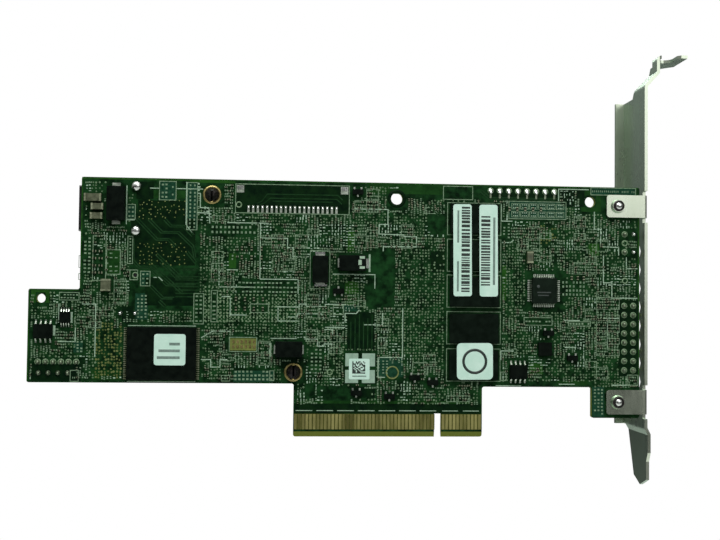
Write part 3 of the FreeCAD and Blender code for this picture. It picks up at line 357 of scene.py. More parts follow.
def lathe(name, places, profile, side, sides, finish, hollow=False, lean=0.0):
    """Turned pieces standing on a face: profile is (radius, lift) points; lean moves each ring along v."""
    points, faces = [], []
    rings = len(profile)
    for u, v in places:
        start = len(points)
        for radius, lift in profile:
            for n in range(sides):
                turn = 2 * math.pi * n / sides
                points.append(at(u + radius * math.cos(turn),
                                 v + lean * lift + radius * math.sin(turn), lift, side))
        for r in range(rings if hollow else rings - 1):
            for n in range(sides):
                a, b = start + r * sides + n, start + r * sides + (n + 1) % sides
                d, c = start + (r + 1) % rings * sides + n, start + (r + 1) % rings * sides + (n + 1) % sides
                faces.append((d, c, b, a))
        if not hollow:
            faces.append([start + n for n in range(sides)])
            faces.append([start + (rings - 1) * sides + n for n in reversed(range(sides))])
    return plain(name, points, faces, side, finish, smooth=sides > 10)


def studs_tree(name, material, sides):
    """Geometry Nodes: a short round stud on every point, lying flat on the board's faces."""
    tree = bpy.data.node_groups.new(name, "GeometryNodeTree")
    tree.interface.new_socket("Places", in_out="INPUT", socket_type="NodeSocketGeometry")
    for socket, value in (("Radius", 0.0003), ("Height", 0.00002), ("Least Size", 1.0),
                          ("Largest Size", 1.0)):
        tree.interface.new_socket(socket, in_out="INPUT", socket_type="NodeSocketFloat").default_value = value
    tree.interface.new_socket("Studs", in_out="OUTPUT", socket_type="NodeSocketGeometry")
    given = add(tree, "NodeGroupInput")
    stud = add(tree, "GeometryNodeMeshCylinder", {
        "Vertices": sides, "Radius": given.outputs["Radius"], "Depth": given.outputs["Height"]})
    laid = add(tree, "GeometryNodeTransform", {
        "Geometry": stud.outputs["Mesh"], "Rotation": (math.pi / 2, 0.0, 0.0)})
    size = add(tree, "FunctionNodeRandomValue", {
        2: given.outputs["Least Size"], 3: given.outputs["Largest Size"], "Seed": 7}, data_type="FLOAT")
    spread = add(tree, "GeometryNodeInstanceOnPoints", {
        "Points": given.outputs["Places"], "Instance": laid.outputs["Geometry"], "Scale": size.outputs[1]})
    real = add(tree, "GeometryNodeRealizeInstances", {"Geometry": spread.outputs["Instances"]})
    painted = add(tree, "GeometryNodeSetMaterial", {
        "Geometry": real.outputs["Geometry"], "Material": material})
    out = add(tree, "NodeGroupOutput")
    tree.links.new(painted.outputs["Geometry"], out.inputs["Studs"])
    return tree


def studs(name, places, radius, height, side, finish, sides=8, vary=(1.0, 1.0)):
    """A round stud at each u, v place, made plain once its tree has run."""
    mesh = bpy.data.meshes.new(name + "_places")
    mesh.from_pydata([at(u, v, height / 2, side) for u, v in places], [], [])
    carrier = bpy.data.objects.new(name + "_carrier", mesh)
    bpy.context.scene.collection.objects.link(carrier)
    tree = studs_tree(name + "_tree", FINISH[finish], sides)
    modifier = carrier.modifiers.new("studs", "NODES")
    modifier.node_group = tree
    sockets = {s.name: s.identifier for s in tree.interface.items_tree if s.in_out == "INPUT"}
    for socket, value in (("Radius", radius * MM), ("Height", height * MM), ("Least Size", vary[0]),
                          ("Largest Size", vary[1])):
        modifier[sockets[socket]] = value
    graph = bpy.context.evaluated_depsgraph_get()
    done = bpy.data.meshes.new_from_object(carrier.evaluated_get(graph))
    done.name = name
    bpy.data.objects.remove(carrier)
    return keep(name, done, finish)


def islands(node_name):
    """The separate solids of a CAD node: (u low, v low, u high, v high) each, in board mm."""
    mesh = cad_nodes[node_name].data
    owner, link = {}, list(range(len(mesh.vertices)))

    def root(n):
        while link[n] != n:
            link[n] = link[link[n]]
            n = link[n]
        return n

    for n, vertex in enumerate(mesh.vertices):
        key = tuple(round(c * 1e6) for c in vertex.co)
        link[root(n)] = root(owner.setdefault(key, n))
    for face in mesh.polygons:
        for n in face.vertices[1:]:
            link[root(n)] = root(face.vertices[0])
    found = {}
    for n, vertex in enumerate(mesh.vertices):
        u = (vertex.co.x - board_low.x) / MM
        v = vertex.co.z / MM
        box = found.setdefault(root(n), [u, v, u, v])
        box[0], box[1] = min(box[0], u), min(box[1], v)
        box[2], box[3] = max(box[2], u), max(box[3], v)
    return sorted(tuple(box) for box in found.values())


def centre(box):
    return (box[0] + box[2]) / 2, (box[1] + box[3]) / 2


def lift_of(node_name):
    """How far a node's outer face stands over the solder face, in mm."""
    return (board_low.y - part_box(node_name)[0].y) / MM


# ------------------------------------------------- joints, pins and springs
PIN_JOINT = [(0.68, 0.0), (0.62, 0.12), (0.5, 0.28), (0.4, 0.46), (0.34, 0.62), (0.24, 0.72), (0.06, 0.75)]
PEG_DOME = [(1.39, 0.0), (1.37, 0.25), (1.26, 0.58), (1.04, 0.9), (0.72, 1.12), (0.36, 1.22), (0.06, 1.25)]
joints = [(b[2] - b[0] >= 2.2, *centre(b)) for b in islands("solder_joints")]
row_joints = [(u, v) for leg, u, v in joints if not leg and v > 66]
bright_joints = [(u, v) for leg, u, v in joints if not leg and (20 < u < 30 or (u > 163 and v > 45))]
dull_joints = [(u, v) for leg, u, v in joints if not leg and (u, v) not in row_joints + bright_joints]
leg_joints = [(u, v) for leg, u, v in joints if leg]
# the header row's fillets sag towards their pins
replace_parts(lathe("header_row_joints", row_joints, PIN_JOINT, BACK, 16, "solder", lean=-0.9),
            "solder_joints")
# the pin joints are split by place: these keep the bright solder, and the rest take its darker copy, painted
# shade
lathe("bright_pin_joints", bright_joints, PIN_JOINT, BACK, 16, "solder")
lathe("pin_joints_in_painted_shade", dull_joints, PIN_JOINT, BACK, 14, "dull_solder")
lathe("cage_leg_solder_domes", leg_joints, PEG_DOME, BACK, 28, "solder")
lathe("joint_lands", [*row_joints, *dull_joints], washer(0.5, 0.86, 0.0, land_thick), BACK, 16,
      "via_ring", hollow=True)
# tinned tails below the header row's joints
slabs("header_row_tails", [(u, v - 1.5, 0.5, 1.1, 0) for u, v in row_joints], 0.0, pad_thick, BACK,
      "dull_solder")

# fillets where the fine pads meet their pins, on the side away from the contacts
pad_places = [centre(b) for b in islands("tinned_pads")]
anchors_above = 64
lathe("fine_pad_fillets", [(u, v + 0.55) for u, v in pad_places if v < anchors_above],
      [(0.29, 0.0), (0.27, 0.16), (0.16, 0.3), (0.04, 0.34)], BACK, 12, "solder", lean=-0.6)
slabs("anchor_fillets", [(u, v + 0.4, 1.5, 0.9, 0) for u, v in pad_places if v > anchors_above],
      0.0, 0.3, BACK, "solder")
slabs("capacitor_fillets",
      [(77.05, 49.3, 2.6, 0.9, 0), (77.3, 40.75, 3.4, 0.6, 0), (89.95, 46.8, 0.6, 2.6, 0),
       (22.5, 67.0, 2.0, 0.8, 0)], 0.0, 0.45, BACK, "solder")
slabs("capacitor_polarity_marks",
      [(88.3, 48.3, 1.4, 0.7, 0), (88.3, 45.6, 1.4, 0.7, 0), (87.7, 46.95, 0.9, 1.4, 0)],
      2.79, 2.83, BACK, "ink")
# each screw's end: a black nylon ring that is painted shadow in the gap of its thread, round a point of
# bright tin that is a painted highlight
screw_places = [centre(b) for b in islands("bracket_screws")]
screw_lift = lift_of("bracket_screws")
lathe("screw_painted_shadow_rings", screw_places, washer(0.95, 1.5, screw_lift - 0.02, screw_lift + 0.03), BACK, 28,
      "nylon", hollow=True)
point = [(0.95, -0.02), (0.9, 0.16), (0.55, 0.3), (0.06, 0.34)]
lathe("screw_points_painted_highlight", screw_places, [(radius, screw_lift + lift) for radius, lift in point], BACK, 24,
      "solder")
# the receptacle's locating peg fills its hole from behind
lathe("receptacle_peg_tip", [(27.8, 42.8)], [(0.9, -1.5), (0.9, -0.2), (0.7, -0.1), (0.06, -0.1)], BACK, 24,
      "polymer")

pin_places = [centre(b) for b in islands("push_pins")]
lathe("push_pin_lands", pin_places, washer(1.74, 2.5, 0.0, ring_thick), BACK, 40, "ring_gold",
      hollow=True)

# ------------------------------------------------ what is printed and plated
SILK_LINES = [
    [(52, 57.3), (63, 57.3)],
    [(60.9, 57.4), (60.9, 53.3), (68.2, 53.3), (68.2, 50.8), (69.7, 50.8), (69.7, 48.4), (71.5, 48.4)],
    [(53.1, 37), (53.1, 32.5), (57.5, 32.5)], [(50, 40), (59, 40)], [(50.8, 37.4), (53.1, 37.4)],
    [(85.5, 61.6), (95.4, 61.6), (95.4, 57.5), (93, 57.5), (93, 54.9), (100, 54.7)],
    [(99.7, 54.3), (103.3, 54.3), (103.3, 51.5), (94.2, 51.5), (94.2, 50.2)],
    [(80.5, 43.8), (92, 43.8), (92, 40)],
    [(65.9, 34.7), (65.9, 31.0), (71.2, 31.0)],
    [(68.6, 32.1), (71.0, 32.1), (71.2, 33.0), (77.6, 33.0), (78.3, 31.6)],
    [(65.2, 34.8), (71.6, 34.8), (71.6, 35.6), (73.5, 35.6), (73.5, 35.0), (78.6, 35.0), (78.6, 35.6),
     (84.2, 35.6)],
    [(78.4, 28.8), (80.7, 28.8), (80.7, 27.4)], [(78.6, 29.4), (84, 29.4)],
    [(73, 26.2), (76.6, 26.2), (76.6, 24.3), (78.4, 24.3), (78.4, 24.9), (80.7, 24.9)],
    [(45.5, 26.3), (48.5, 28.1), (53.1, 28.1)],
    [(45.5, 20.5), (48.1, 20.5), (48.1, 18.5), (50.6, 18.5), (50.6, 20.5), (52.5, 20.5)],
    [(93.1, 16), (93.1, 21.4), (99.8, 21.4)], [(93.1, 16), (95.0, 16)],
    [(152.8, 62), (152.8, 57.2), (154.6, 57.2), (154.6, 52.4), (159.7, 52.2), (159.7, 50.0)],
    [(155.4, 50), (155.4, 42.4), (157.8, 42.4), (157.8, 38.2), (165, 38.2)],
    [(41.0, 68), (41.0, 56.6), (43, 53.8)], [(44.0, 65), (44.7, 65), (44.7, 61.2), (47, 61.2), (47.3, 57)],
    [(84.0, 31.0), (84.0, 33.2), (87, 33.2), (87.9, 34.2)],
    [(25.3, 57.6), (27.4, 57.6)], [(44, 59.8), (47, 59.8)], [(64, 26.3), (71, 26.3)],
    [(32.6, 42.3), (34.1, 42.3), (35.0, 41.4)], [(31.3, 66.2), (33.8, 66.2)], [(38.2, 66.2), (45.4, 66.2)],
    [(25.2, 56.4), (25.2, 66.8)], [(8.0, 35.0), (8.0, 30.6)], [(7.8, 30.1), (11.6, 30.1)],
    [(14.0, 35.0), (17.6, 35.0), (17.6, 21.0)], [(12.4, 28.6), (12.4, 25.0), (8.0, 25.0)],
    [(142.7, 64.8), (142.7, 68.1), (151.2, 68.1)], [(126.7, 63.6), (126.7, 59.0), (129.8, 59.0)],
    [(126.9, 53.1), (129.2, 53.1), (130.2, 53.8)], [(126.6, 23.4), (130.4, 23.4)],
    [(126.8, 20.9), (126.8, 23.4)], [(144.4, 31.9), (148.8, 31.9)], [(144.6, 24.5), (147.8, 24.5)],
    [(155.4, 32.6), (159.8, 32.6)], [(156.6, 32.4), (156.6, 24.0)],
    [(161.9, 49.5), (161.9, 46.4), (165.0, 46.4)], [(132.2, 17.6), (134.6, 17.6)],
    [(125.4, 13.9), (132.5, 13.9)], [(143.0, 14.4), (147.4, 14.4)], [(157.8, 14.2), (165.2, 14.2)],
    [(52, 44.6), (55, 44.6)], [(50.0, 44.2), (50.0, 40.0)], [(99.7, 21.4), (99.7, 34.8)],
    [(60.9, 42.2), (71.2, 42.2)], [(60.9, 53.3), (60.9, 42.2)], [(71.2, 42.2), (71.2, 38.4)],
    [(94.2, 33.4), (94.2, 30.2), (89.0, 30.2)],
]
SILK_BOXES = [
    (54.1, 60, 84.8, 67.8), (74.4, 39.8, 79.7, 50.1), (33.8, 63.1, 38.2, 68.1), (25.3, 57.8, 27.5, 61.7),
    (20.2, 43, 23.8, 49.5), (29.2, 40, 31.7, 43.9), (128.8, 59.7, 144.8, 64.5), (11.3, 14.5, 13.4, 17.4),
    (51, 14.8, 53.2, 16.3), (93, 23.9, 95.2, 26.8), (126.8, 15.3, 128.3, 17.6), (162.2, 14.2, 165.2, 17),
    (53.0, 22.7, 60.3, 26.5), (58.5, 33.2, 63.3, 35.5), (102.5, 17.0, 106.5, 20.0),
    (110.6, 64.7, 118.7, 68.3), (41.2, 55.2, 43.9, 67.9), (133.2, 30.5, 141.0, 32.6),
    (151.8, 66.7, 164.5, 68.7), (25.7, 45.9, 27.0, 53.2), (16.6, 41.3, 20.0, 53.3),
    (43.4, 30.0, 46.0, 38.1), (63.9, 15.0, 65.0, 17.6), (8.1, 36.0, 13.2, 38.0), (80.8, 32.9, 83.5, 35.3),
    (145.6, 30.4, 151.8, 31.6), (26.4, 41.6, 28.4, 44.2), (48.0, 30.6, 49.6, 39.0),
] + [(111.8, low, 126.6, low + 8.8) for low in (55.0, 45.0, 35.2, 25.2, 15.1)]
ribbons("legend_lines_back", SILK_LINES, 0.24, legend_thick, BACK, "ink")
ribbons("legend_frames_back", [frame_of(*box) for box in SILK_BOXES], 0.2, legend_thick + 0.01, BACK,
        "soft_ink")
SILK_BARS = [
    (90.5, 46.9, 0.5, 4.8, 0), (63.9, 23.2, 0.6, 3.6, 0), (35.1, 29.4, 18.0, 0.22, 0),
    (35.1, 14.55, 18.0, 0.22, 0),
    (120.4, 54.4, 0.3, 0.4, 0), (6.9, 27.9, 0.6, 2.6, 0), (11.3, 31.4, 0.6, 2.9, 0),
]
# the dashed line over the contacts
DASHES = [(71 + 5.6 * n + 2.2, 7.0, 4.5, 0.2, 0) for n in range(7)]
DASHES += [(u, 7.0, 4.4, 0.2, 0) for u in (112.9, 118.6)]
slabs("legend_bars_back", SILK_BARS + DASHES, 0.0, legend_thick, BACK, "ink")

# where the copper under the mask changes: middle u, middle v, along u, along v, turn
PATCHES = {
    "bright_mask": [(85.4, 52.7, 1.8, 5.6, 0), (85.75, 40.2, 3.8, 3.4, 0), (136.6, 18.5, 3.7, 3.0, 0),
                    (152.7, 51.5, 3.0, 3.4, 0), (1.35, 36.9, 1.2, 3.4, 0), (5.0, 36.9, 1.0, 3.4, 0),
                    (3.2, 38.3, 2.6, 0.7, 0), (48.0, 68.2, 12.0, 0.6, 0), (127.6, 42.0, 1.2, 9.6, 0),
                    (53.5, 47.0, 2.0, 4.0, 0)],
    "mid_mask": [(100.2, 67.2, 20.4, 2.6, 0), (22.0, 46.2, 3.4, 6.3, 0), (85.7, 36.9, 3.8, 2.6, 0),
                 (151.85, 62.6, 5.7, 1.2, 0), (151.85, 67.1, 5.7, 1.2, 0), (149.4, 64.85, 0.9, 3.3, 0),
                 (154.0, 64.85, 1.4, 3.3, 0), (35.1, 64.6, 14.0, 2.2, 0), (20.6, 16.2, 7.6, 2.6, 0),
                 (94.6, 9.1, 47.0, 1.1, 0), (139.2, 55.6, 3.4, 3.2, 0), (146.8, 14.8, 8.4, 1.2, 0)],
    "teal_mask": [(158.1, 67.7, 12.5, 1.8, 0), (42.5, 61.5, 2.5, 12.5, 0), (29.6, 34.5, 3.4, 7.0, 0),
                  (59.5, 16.1, 10.6, 3.0, 0), (30.45, 42.0, 2.2, 3.6, 0), (36.0, 65.6, 4.2, 4.8, 0),
                  (26.4, 59.7, 2.0, 3.6, 0), (96.5, 18.7, 6.6, 5.2, 0), (136.8, 62.1, 15.8, 4.6, 0),
                  (154.0, 9.6, 3.4, 8.2, 0), (85.7, 34.6, 4.6, 1.6, 0), (13.2, 23.6, 2.4, 3.0, 0)],
    "dark_mask": [(69.5, 64.0, 30.2, 7.4, 0), (35.0, 51.9, 17.0, 12.6, 0), (34.5, 60.4, 12.5, 5.0, 0),
                  (109.2, 47.6, 3.8, 5.6, 0), (30, 65.6, 4.5, 4.6, 0), (89.2, 28.4, 9.0, 10.4, 0),
                  (132.8, 66.5, 19.2, 3.2, 0), (96.0, 7.6, 50.8, 2.6, 0), (89.3, 12.0, 6.0, 3.0, 0),
                  (7.6, 16.8, 13.0, 4.4, 0), (70.0, 19.8, 6.0, 3.0, 0), (26.0, 32.4, 3.0, 4.4, 0),
                  (37.0, 38.6, 13.0, 7.6, 0), (162.5, 27.2, 5.6, 21.0, 0), (146.6, 65.6, 6.8, 4.6, 0)],
}
for level, (finish_name, items) in enumerate(PATCHES.items()):
    slabs("pour_" + finish_name, items, 0.0, pour_thick * (level * 0.7 + 0.5), BACK, finish_name)

# pale square lands under the small code label
slabs("code_label_lands", [(u, v, 3.5, 3.5, 0) for u in (85.95, 90.5) for v in (16.2, 20.7)], 0.0, land_thick,
      BACK, "pale_land")

# bundles of tracks under the mask, which step by 45 degrees between the via fields
BUNDLES = [
    [(28.0, 57.9), (33.3, 52.5), (36.4, 52.5), (38.3, 50.7)],
    [(31.1, 57.9), (34.6, 54.4), (39.0, 54.4), (42.9, 50.7), (43.5, 47.6)],
    [(35.3, 57.9), (37.0, 56.1), (40.4, 56.1), (42.8, 53.6)],
    [(27.1, 52.5), (27.2, 46.6), (28.8, 44.9), (31.4, 44.9), (36.2, 40.3), (43.6, 40.3)],
    [(31.0, 46.5), (37.4, 40.9), (40.2, 38.3)], [(34.4, 46.5), (38.6, 42.4), (43.4, 42.4)],
    [(31.9, 40.0), (35.1, 36.8), (38.0, 36.8)], [(34.2, 36.1), (35.8, 34.6)], [(40.1, 44.6), (44.1, 44.6)],
    [(41.4, 49.2), (43.8, 46.3)], [(33.2, 48.6), (40.2, 41.9)], [(121.0, 67.2), (123.4, 65.2), (142.0, 65.2)],
    [(106.5, 63.4), (109.6, 60.2)], [(108.2, 63.4), (110.2, 61.4)],
    [(102.2, 58.6), (104.4, 55.4), (104.4, 57.8)],
]
FINE_TRACKS = [[(59.8, 62.6), (61.1, 63.2), (62.6, 65.2), (81.7, 65.2), (83.0, 63.9)],
               [(60.4, 62.2), (61.8, 62.7), (63.4, 64.1), (81.4, 64.1), (82.8, 62.8)],
               [(64.0, 63.3), (80.3, 63.3)]]
FINE_TRACKS += [[(85.6 + n * 1.15, 23.0), (85.6 + n * 1.15, 31.0 + (n % 3))] for n in range(8)]
FINE_TRACKS += [[(44.4 + n * 0.9, 43.4 - n * 0.8), (51.0, 43.4 - n * 0.8)] for n in range(5)]
FINE_TRACKS += [[(38.4, 42.6 - n * 0.9), (45.6, 42.6 - n * 0.9)] for n in range(7)]
twins = [[(u + s, v + s) for u, v in line] for line in BUNDLES for s in (-0.22, 0.22)]
ribbons("covered_track_bundles", twins, 0.3, track_thick, BACK, "covered_copper")
ribbons("covered_fine_tracks", FINE_TRACKS, 0.26, track_thick, BACK, "covered_copper")

# the tongue is bare of mask between its contacts and down to the chamfer
slabs("bare_laminate_between_contacts", [(89.6, 4.05, 38.1, 4.2, 0), (115.9, 4.05, 11.2, 4.2, 0)], 0.0, 0.02,
      BACK, "dark_laminate")

# olive contact block and its twelve pads
slabs("contact_block", [(56.65, 24.6, 7.0, 3.2, 0)], 0.0, 0.02, BACK, "laminate")
slabs("contact_block_pads", [(54.1 + 1.1 * n, v, 0.62, 0.85, 0) for n in range(6) for v in (24.0, 25.3)],
      0.0, pad_thick, BACK, "ring_gold")
lathe("ringed_land", [(97.0, 17.3)], washer(1.45, 1.8, 0.0, ring_thick), BACK, 32, "ochre_via",
      hollow=True)
lathe("test_rings", [(161.4, 53.4), (27.8, 42.8), (55.0, 62.2), (80.0, 17.3), (161.5, 43.0)],
      washer(0.55, 0.85, 0.0, ring_thick), BACK, 20, "via_ring", hollow=True)
lathe("bare_ring_round_middle_hole", [(97.8, 64.6)], washer(1.62, 2.5, 0.0, land_thick), BACK, 36,
      "dark_mask", hollow=True)

# light margin where the pours stop short of the board's edge
slabs("bare_margin", [(33.6, 68.6, 40.4, 0.5, 0), (109.6, 68.72, 111.0, 0.3, 0), (13.5, 53.9, 0.3, 29.4, 0),
                      (6.7, 38.7, 13.0, 0.3, 0), (0.2, 26.5, 0.3, 24.2, 0), (165.35, 40.0, 0.4, 50.0, 0),
                      (121.4, 7.8, 0.4, 10.8, 0)], 0.0, pour_thick, BACK, "bright_mask")


# ----------------------------------------------- small parts over the board
def rows_of(box, pitch_u, pitch_v, mark_u, mark_v, seed, share, play):
    """Marks on a grid that fills a box, each there by chance."""
    draw = random.Random(seed)
    count_u = max(1, int((box[2] - box[0]) / pitch_u))
    count_v = max(1, int((box[3] - box[1]) / pitch_v))
    return [(box[0] + (i + 0.5) * (box[2] - box[0]) / count_u + draw.uniform(-play, play),
             box[1] + (j + 0.5) * (box[3] - box[1]) / count_v + draw.uniform(-play, play), mark_u, mark_v, 0)
            for i in range(count_u) for j in range(count_v) if draw.random() < share]


# decoupling parts in close rows, each block with its own pitch
BLOCKS = [
    ((41.4, 55.4, 43.8, 67.7), 0.8, 0.95, 0.42, 0.5), ((28.2, 31.2, 31.2, 37.8), 0.85, 0.9, 0.5, 0.42),
    ((52.6, 45.1, 54.4, 48.9), 0.9, 0.9, 0.4, 0.45), ((54.2, 14.8, 64.8, 17.8), 1.05, 0.95, 0.6, 0.5),
    ((34.2, 63.4, 36.1, 67.8), 0.9, 0.9, 0.55, 0.45), ((36.6, 64.0, 38.0, 67.2), 0.7, 1.0, 0.4, 0.45),
    ((25.5, 58.0, 27.3, 61.5), 0.9, 0.9, 0.5, 0.45), ((29.4, 40.2, 31.5, 43.7), 0.95, 0.9, 0.5, 0.4),
    ((20.6, 43.3, 23.5, 49.2), 1.4, 1.1, 0.7, 0.3), ((152.0, 66.9, 164.3, 68.5), 0.55, 0.8, 0.22, 0.5),
    ((14.0, 43.0, 16.2, 53.0), 1.0, 1.0, 0.6, 0.45), ((25.8, 46.0, 26.9, 53.0), 0.6, 0.85, 0.42, 0.4),
    ((133.4, 30.7, 140.8, 32.4), 0.9, 0.85, 0.55, 0.4), ((43.6, 30.2, 45.8, 37.9), 1.0, 1.0, 0.62, 0.4),
    ((8.3, 36.2, 13.0, 37.8), 0.75, 0.7, 0.5, 0.3), ((152.6, 5.9, 155.6, 13.4), 0.85, 0.9, 0.5, 0.42),
    ((145.8, 30.5, 151.6, 31.5), 0.8, 0.9, 0.5, 0.5), ((48.1, 30.8, 49.5, 38.8), 1.2, 1.0, 0.8, 0.4),
    ((74.6, 17.6, 78.0, 23.8), 1.0, 1.0, 0.6, 0.42), ((94.0, 16.8, 96.0, 20.8), 0.9, 0.8, 0.5, 0.3),
    ((55.0, 38.2, 71.0, 41.8), 1.0, 1.0, 0.62, 0.4), ((12.6, 22.0, 14.6, 25.4), 0.8, 0.8, 0.5, 0.4),
    ((126.9, 54.0, 129.4, 58.6), 0.9, 0.8, 0.5, 0.4), ((46.4, 54.0, 59.8, 56.8), 1.05, 1.0, 0.5, 0.62),
    ((143.6, 38.5, 150.4, 42.9), 0.95, 0.95, 0.45, 0.6), ((155.9, 42.9, 157.4, 49.6), 0.9, 0.9, 0.5, 0.4),
]
blocks = []
for seed, (box, pitch_u, pitch_v, mark_u, mark_v) in enumerate(BLOCKS):
    blocks += rows_of(box, pitch_u, pitch_v, mark_u, mark_v, seed, 0.9, 0.05)
slabs("part_rows_back", blocks, 0.0, pad_thick, BACK, "soft_ink")

# two rows of six outlined resistor packs above the middle of the right half
pack_pitch, pack_long, pack_wide = 2.5, 2.1, 1.5
packs = [(u0, v0, u0 + pack_long, v0 + pack_wide) for u0 in (129.6 + pack_pitch * n for n in range(6))
         for v0 in (60.2, 62.4)]
ribbons("resistor_pack_outlines", [frame_of(*box) for box in packs], 0.16, 0.055, BACK, "soft_ink")
pack_lands = [(box[0] + 0.55 + 0.5 * i, v, 0.26, 0.3, 0) for box in packs for i in range(3)
              for v in (box[1] + 0.35, box[3] - 0.35)]
slabs("resistor_pack_lands", pack_lands, 0.0, 0.06, BACK, "ink")

def grown(box, by):
    return box[0] - by, box[1] - by, box[2] + by, box[3] + by


# what the scattered parts keep clear of: low u, low v, high u, high v
CLEAR = [
    (54, 59.9, 85, 68), (27, 57.4, 41, 68), (26.5, 34, 44.2, 57), (45, 62, 50.6, 67.5), (67.5, 14.6, 73, 20),
    (111.6, 15, 126.8, 64), (133.5, 34.8, 144, 45.2), (24.8, 14.2, 45.6, 30), (19.8, 56.5, 25.6, 67.8),
    (155.6, 60.2, 166, 67.2), (155.6, 5, 166, 13.5), (70, 0, 122, 8.4), (84, 14.2, 92.3, 22.5),
    (94.8, 15.1, 99.2, 19.5), (95.2, 62, 100.4, 67.2), (148.8, 61.8, 154.9, 67.9), (52.6, 22.3, 60.7, 26.9),
    (90.2, 35, 97, 50.5), (78.4, 8.2, 85.2, 13.2), (85.2, 24.4, 91.5, 33.5), (73.6, 10.6, 76.0, 13.8),
    (2.0, 34.8, 5.4, 38), (119.5, 65, 143, 68.4), (100.2, 65.2, 110, 68.5), (107, 55, 111, 60.4),
    *[block[0] for block in BLOCKS], (128.8, 59.7, 144.8, 64.5), (110.6, 64.7, 118.7, 68.3),
]
for node_name in ("small_outline_chips", "small_outline_leads", "transistors", "transistor_leads",
                  "tantalum_capacitors", "tantalum_terminals", "ceramic_capacitors", "ceramic_terminals",
                  "chip_terminals_back", "flat_no_lead_chip", "solder_joints", "moulded_choke"):
    CLEAR += [grown(box, 0.3) for box in islands(node_name)]
# where only vias show: the processor's escape field, the memory's and the lower left
VIA_FIELDS = [(46.5, 30.5, 71, 40), (98, 36, 111, 50), (17.8, 15.2, 24.6, 29.6), (127.2, 34, 133.2, 47.5),
              (99.8, 22, 111, 34), (86.5, 57.6, 107, 60.8), (144.6, 14.8, 152, 19)]


def on_board(u, v, edge=0.9):
    """True where the board carries laminate round a point, away from its edges."""
    if v > 68.9 - edge or u < edge or u > 165.6 - edge:
        return False
    if u < 13.3 + edge and v > 38.9 - edge:
        return False
    if v < 14.2 + edge and not (70.35 + edge < u < 121.65 - edge):
        return 152.2 + edge < u and v > 5.2 + edge
    return v > 8.6


def outside(u, v, reach, boxes):
    return on_board(u, v) and not any(
        a - reach < u < c + reach and b - reach < v < d + reach for a, b, c, d in boxes)


def free(u, v, reach):
    return outside(u, v, reach, CLEAR)


# the dense fields: clumps of 4 by 4 places, each clump of one kind
clump = 3.2
place_pitch = 0.8
place_play = 0.12
land_u, land_v = 0.26, 0.4
land_apart = 0.24
chip_long, chip_wide = 0.34, 0.36
chip_end = 0.14


def fields(seed, test, via_fields=()):
    """Chip lands, chips, vias, outlines and legend ticks, in clumps that share a direction.

    A clump's kind runs from 0 to 1: lands and chips under 0.5, vias up to 0.8, ticks above.
    """
    draw = random.Random(seed)
    lands, bodies, ends, vias, ticks, frames = [], [], [], [], [], []
    for column in range(int(166 / clump) + 1):
        for row in range(int(70 / clump) + 1):
            u0, v0 = column * clump + 0.3, row * clump + 0.3
            kind = draw.random()
            upright = draw.random() < 0.5
            if any(a < u0 + clump / 2 < c and b < v0 + clump / 2 < d for a, b, c, d in via_fields):
                kind = 0.72
            turn = 90 if upright else 0
            if kind < 0.3 and test(u0 + 1.2, v0 + 1.2, clump / 2):
                frames.append(frame_of(u0 - 0.4, v0 - 0.4, u0 + 2.8, v0 + (1.2 if upright else 2.8)))
            for i in range(4):
                for j in range(4):
                    u = u0 + i * place_pitch + draw.uniform(-place_play, place_play)
                    v = v0 + j * place_pitch + draw.uniform(-place_play, place_play)
                    if not test(u, v, 0.3):
                        continue
                    du, dv = (0.0, land_apart) if upright else (land_apart, 0.0)
                    chance = draw.random()
                    if kind < 0.5 and chance < 0.8:
                        lands += [(u + s * du, v + s * dv, land_u, land_v, turn) for s in (1, -1)]
                        if draw.random() < 0.3:
                            bodies.append((u, v, chip_long, chip_wide, turn))
                            ends += [(u + s * du, v + s * dv, chip_end, chip_wide, turn) for s in (1, -1)]
                    elif 0.5 <= kind < 0.8 and chance < 0.7:
                        vias.append((u + draw.uniform(-0.1, 0.1), v + draw.uniform(-0.1, 0.1)))
                    elif kind >= 0.8 and chance < 0.75:
                        ticks.append((u, v, draw.uniform(0.35, 0.72), draw.choice((0.16, 0.2, 0.34)), turn))
                    elif chance > 0.9:
                        vias.append((u, v))
    return lands, bodies, ends, vias, ticks, frames


back_lands, back_bodies, back_ends, back_vias, back_ticks, back_frames = fields(11, free, VIA_FIELDS)
slabs("chip_lands_back", back_lands, 0.0, land_thick, BACK, "soft_ink")
slabs("scattered_chips_back", back_bodies, 0.02, 0.34, BACK, "dark_chip")
slabs("scattered_chip_ends_back", back_ends, 0.02, 0.36, BACK, "dull_tin")
slabs("legend_ticks_back", back_ticks, 0.0, legend_thick, BACK, "ink")
ribbons("part_outlines_back", back_frames, 0.15, 0.032, BACK, "soft_ink")
# the two fields where copper shows through
ochre = [(u, v) for u, v in back_vias if 17.8 < u < 24.6 and v < 30 or 137 < u < 142 and 53 < v < 58]
studs("vias_back", [p for p in back_vias if p not in ochre], 0.23, 0.03, BACK, "via_ring",
      vary=(0.7, 1.15))
studs("via_holes_back", back_vias, 0.1, 0.04, BACK, "dark_mask", sides=6)
studs("thinly_masked_vias_back", ochre, 0.26, 0.03, BACK, "ochre_via", vary=(0.7, 1.15))

# the two open via fields beside the receptacle, and the grid under the processor
field_draw = random.Random(5)
field_vias = [(low_u + 1.2 * i + field_draw.uniform(-0.4, 0.4),
               low_v + 1.1 * j + field_draw.uniform(-0.4, 0.4))
              for low_u, low_v, count in ((28.4, 58.2, 5), (28.8, 45.8, 6)) for i in range(11)
              for j in range(count) if field_draw.random() < 0.85]
studs("field_vias_back", field_vias, 0.17, 0.045, BACK, "ochre_via", vary=(0.7, 1.1))
grid_vias = [(46.4 + i, 30.9 + j) for i in range(25) for j in range(10) if free(46.4 + i, 30.9 + j, 0.2)]
studs("processor_vias_back", grid_vias, 0.24, 0.034, BACK, "via_ring", vary=(0.7, 1.1))

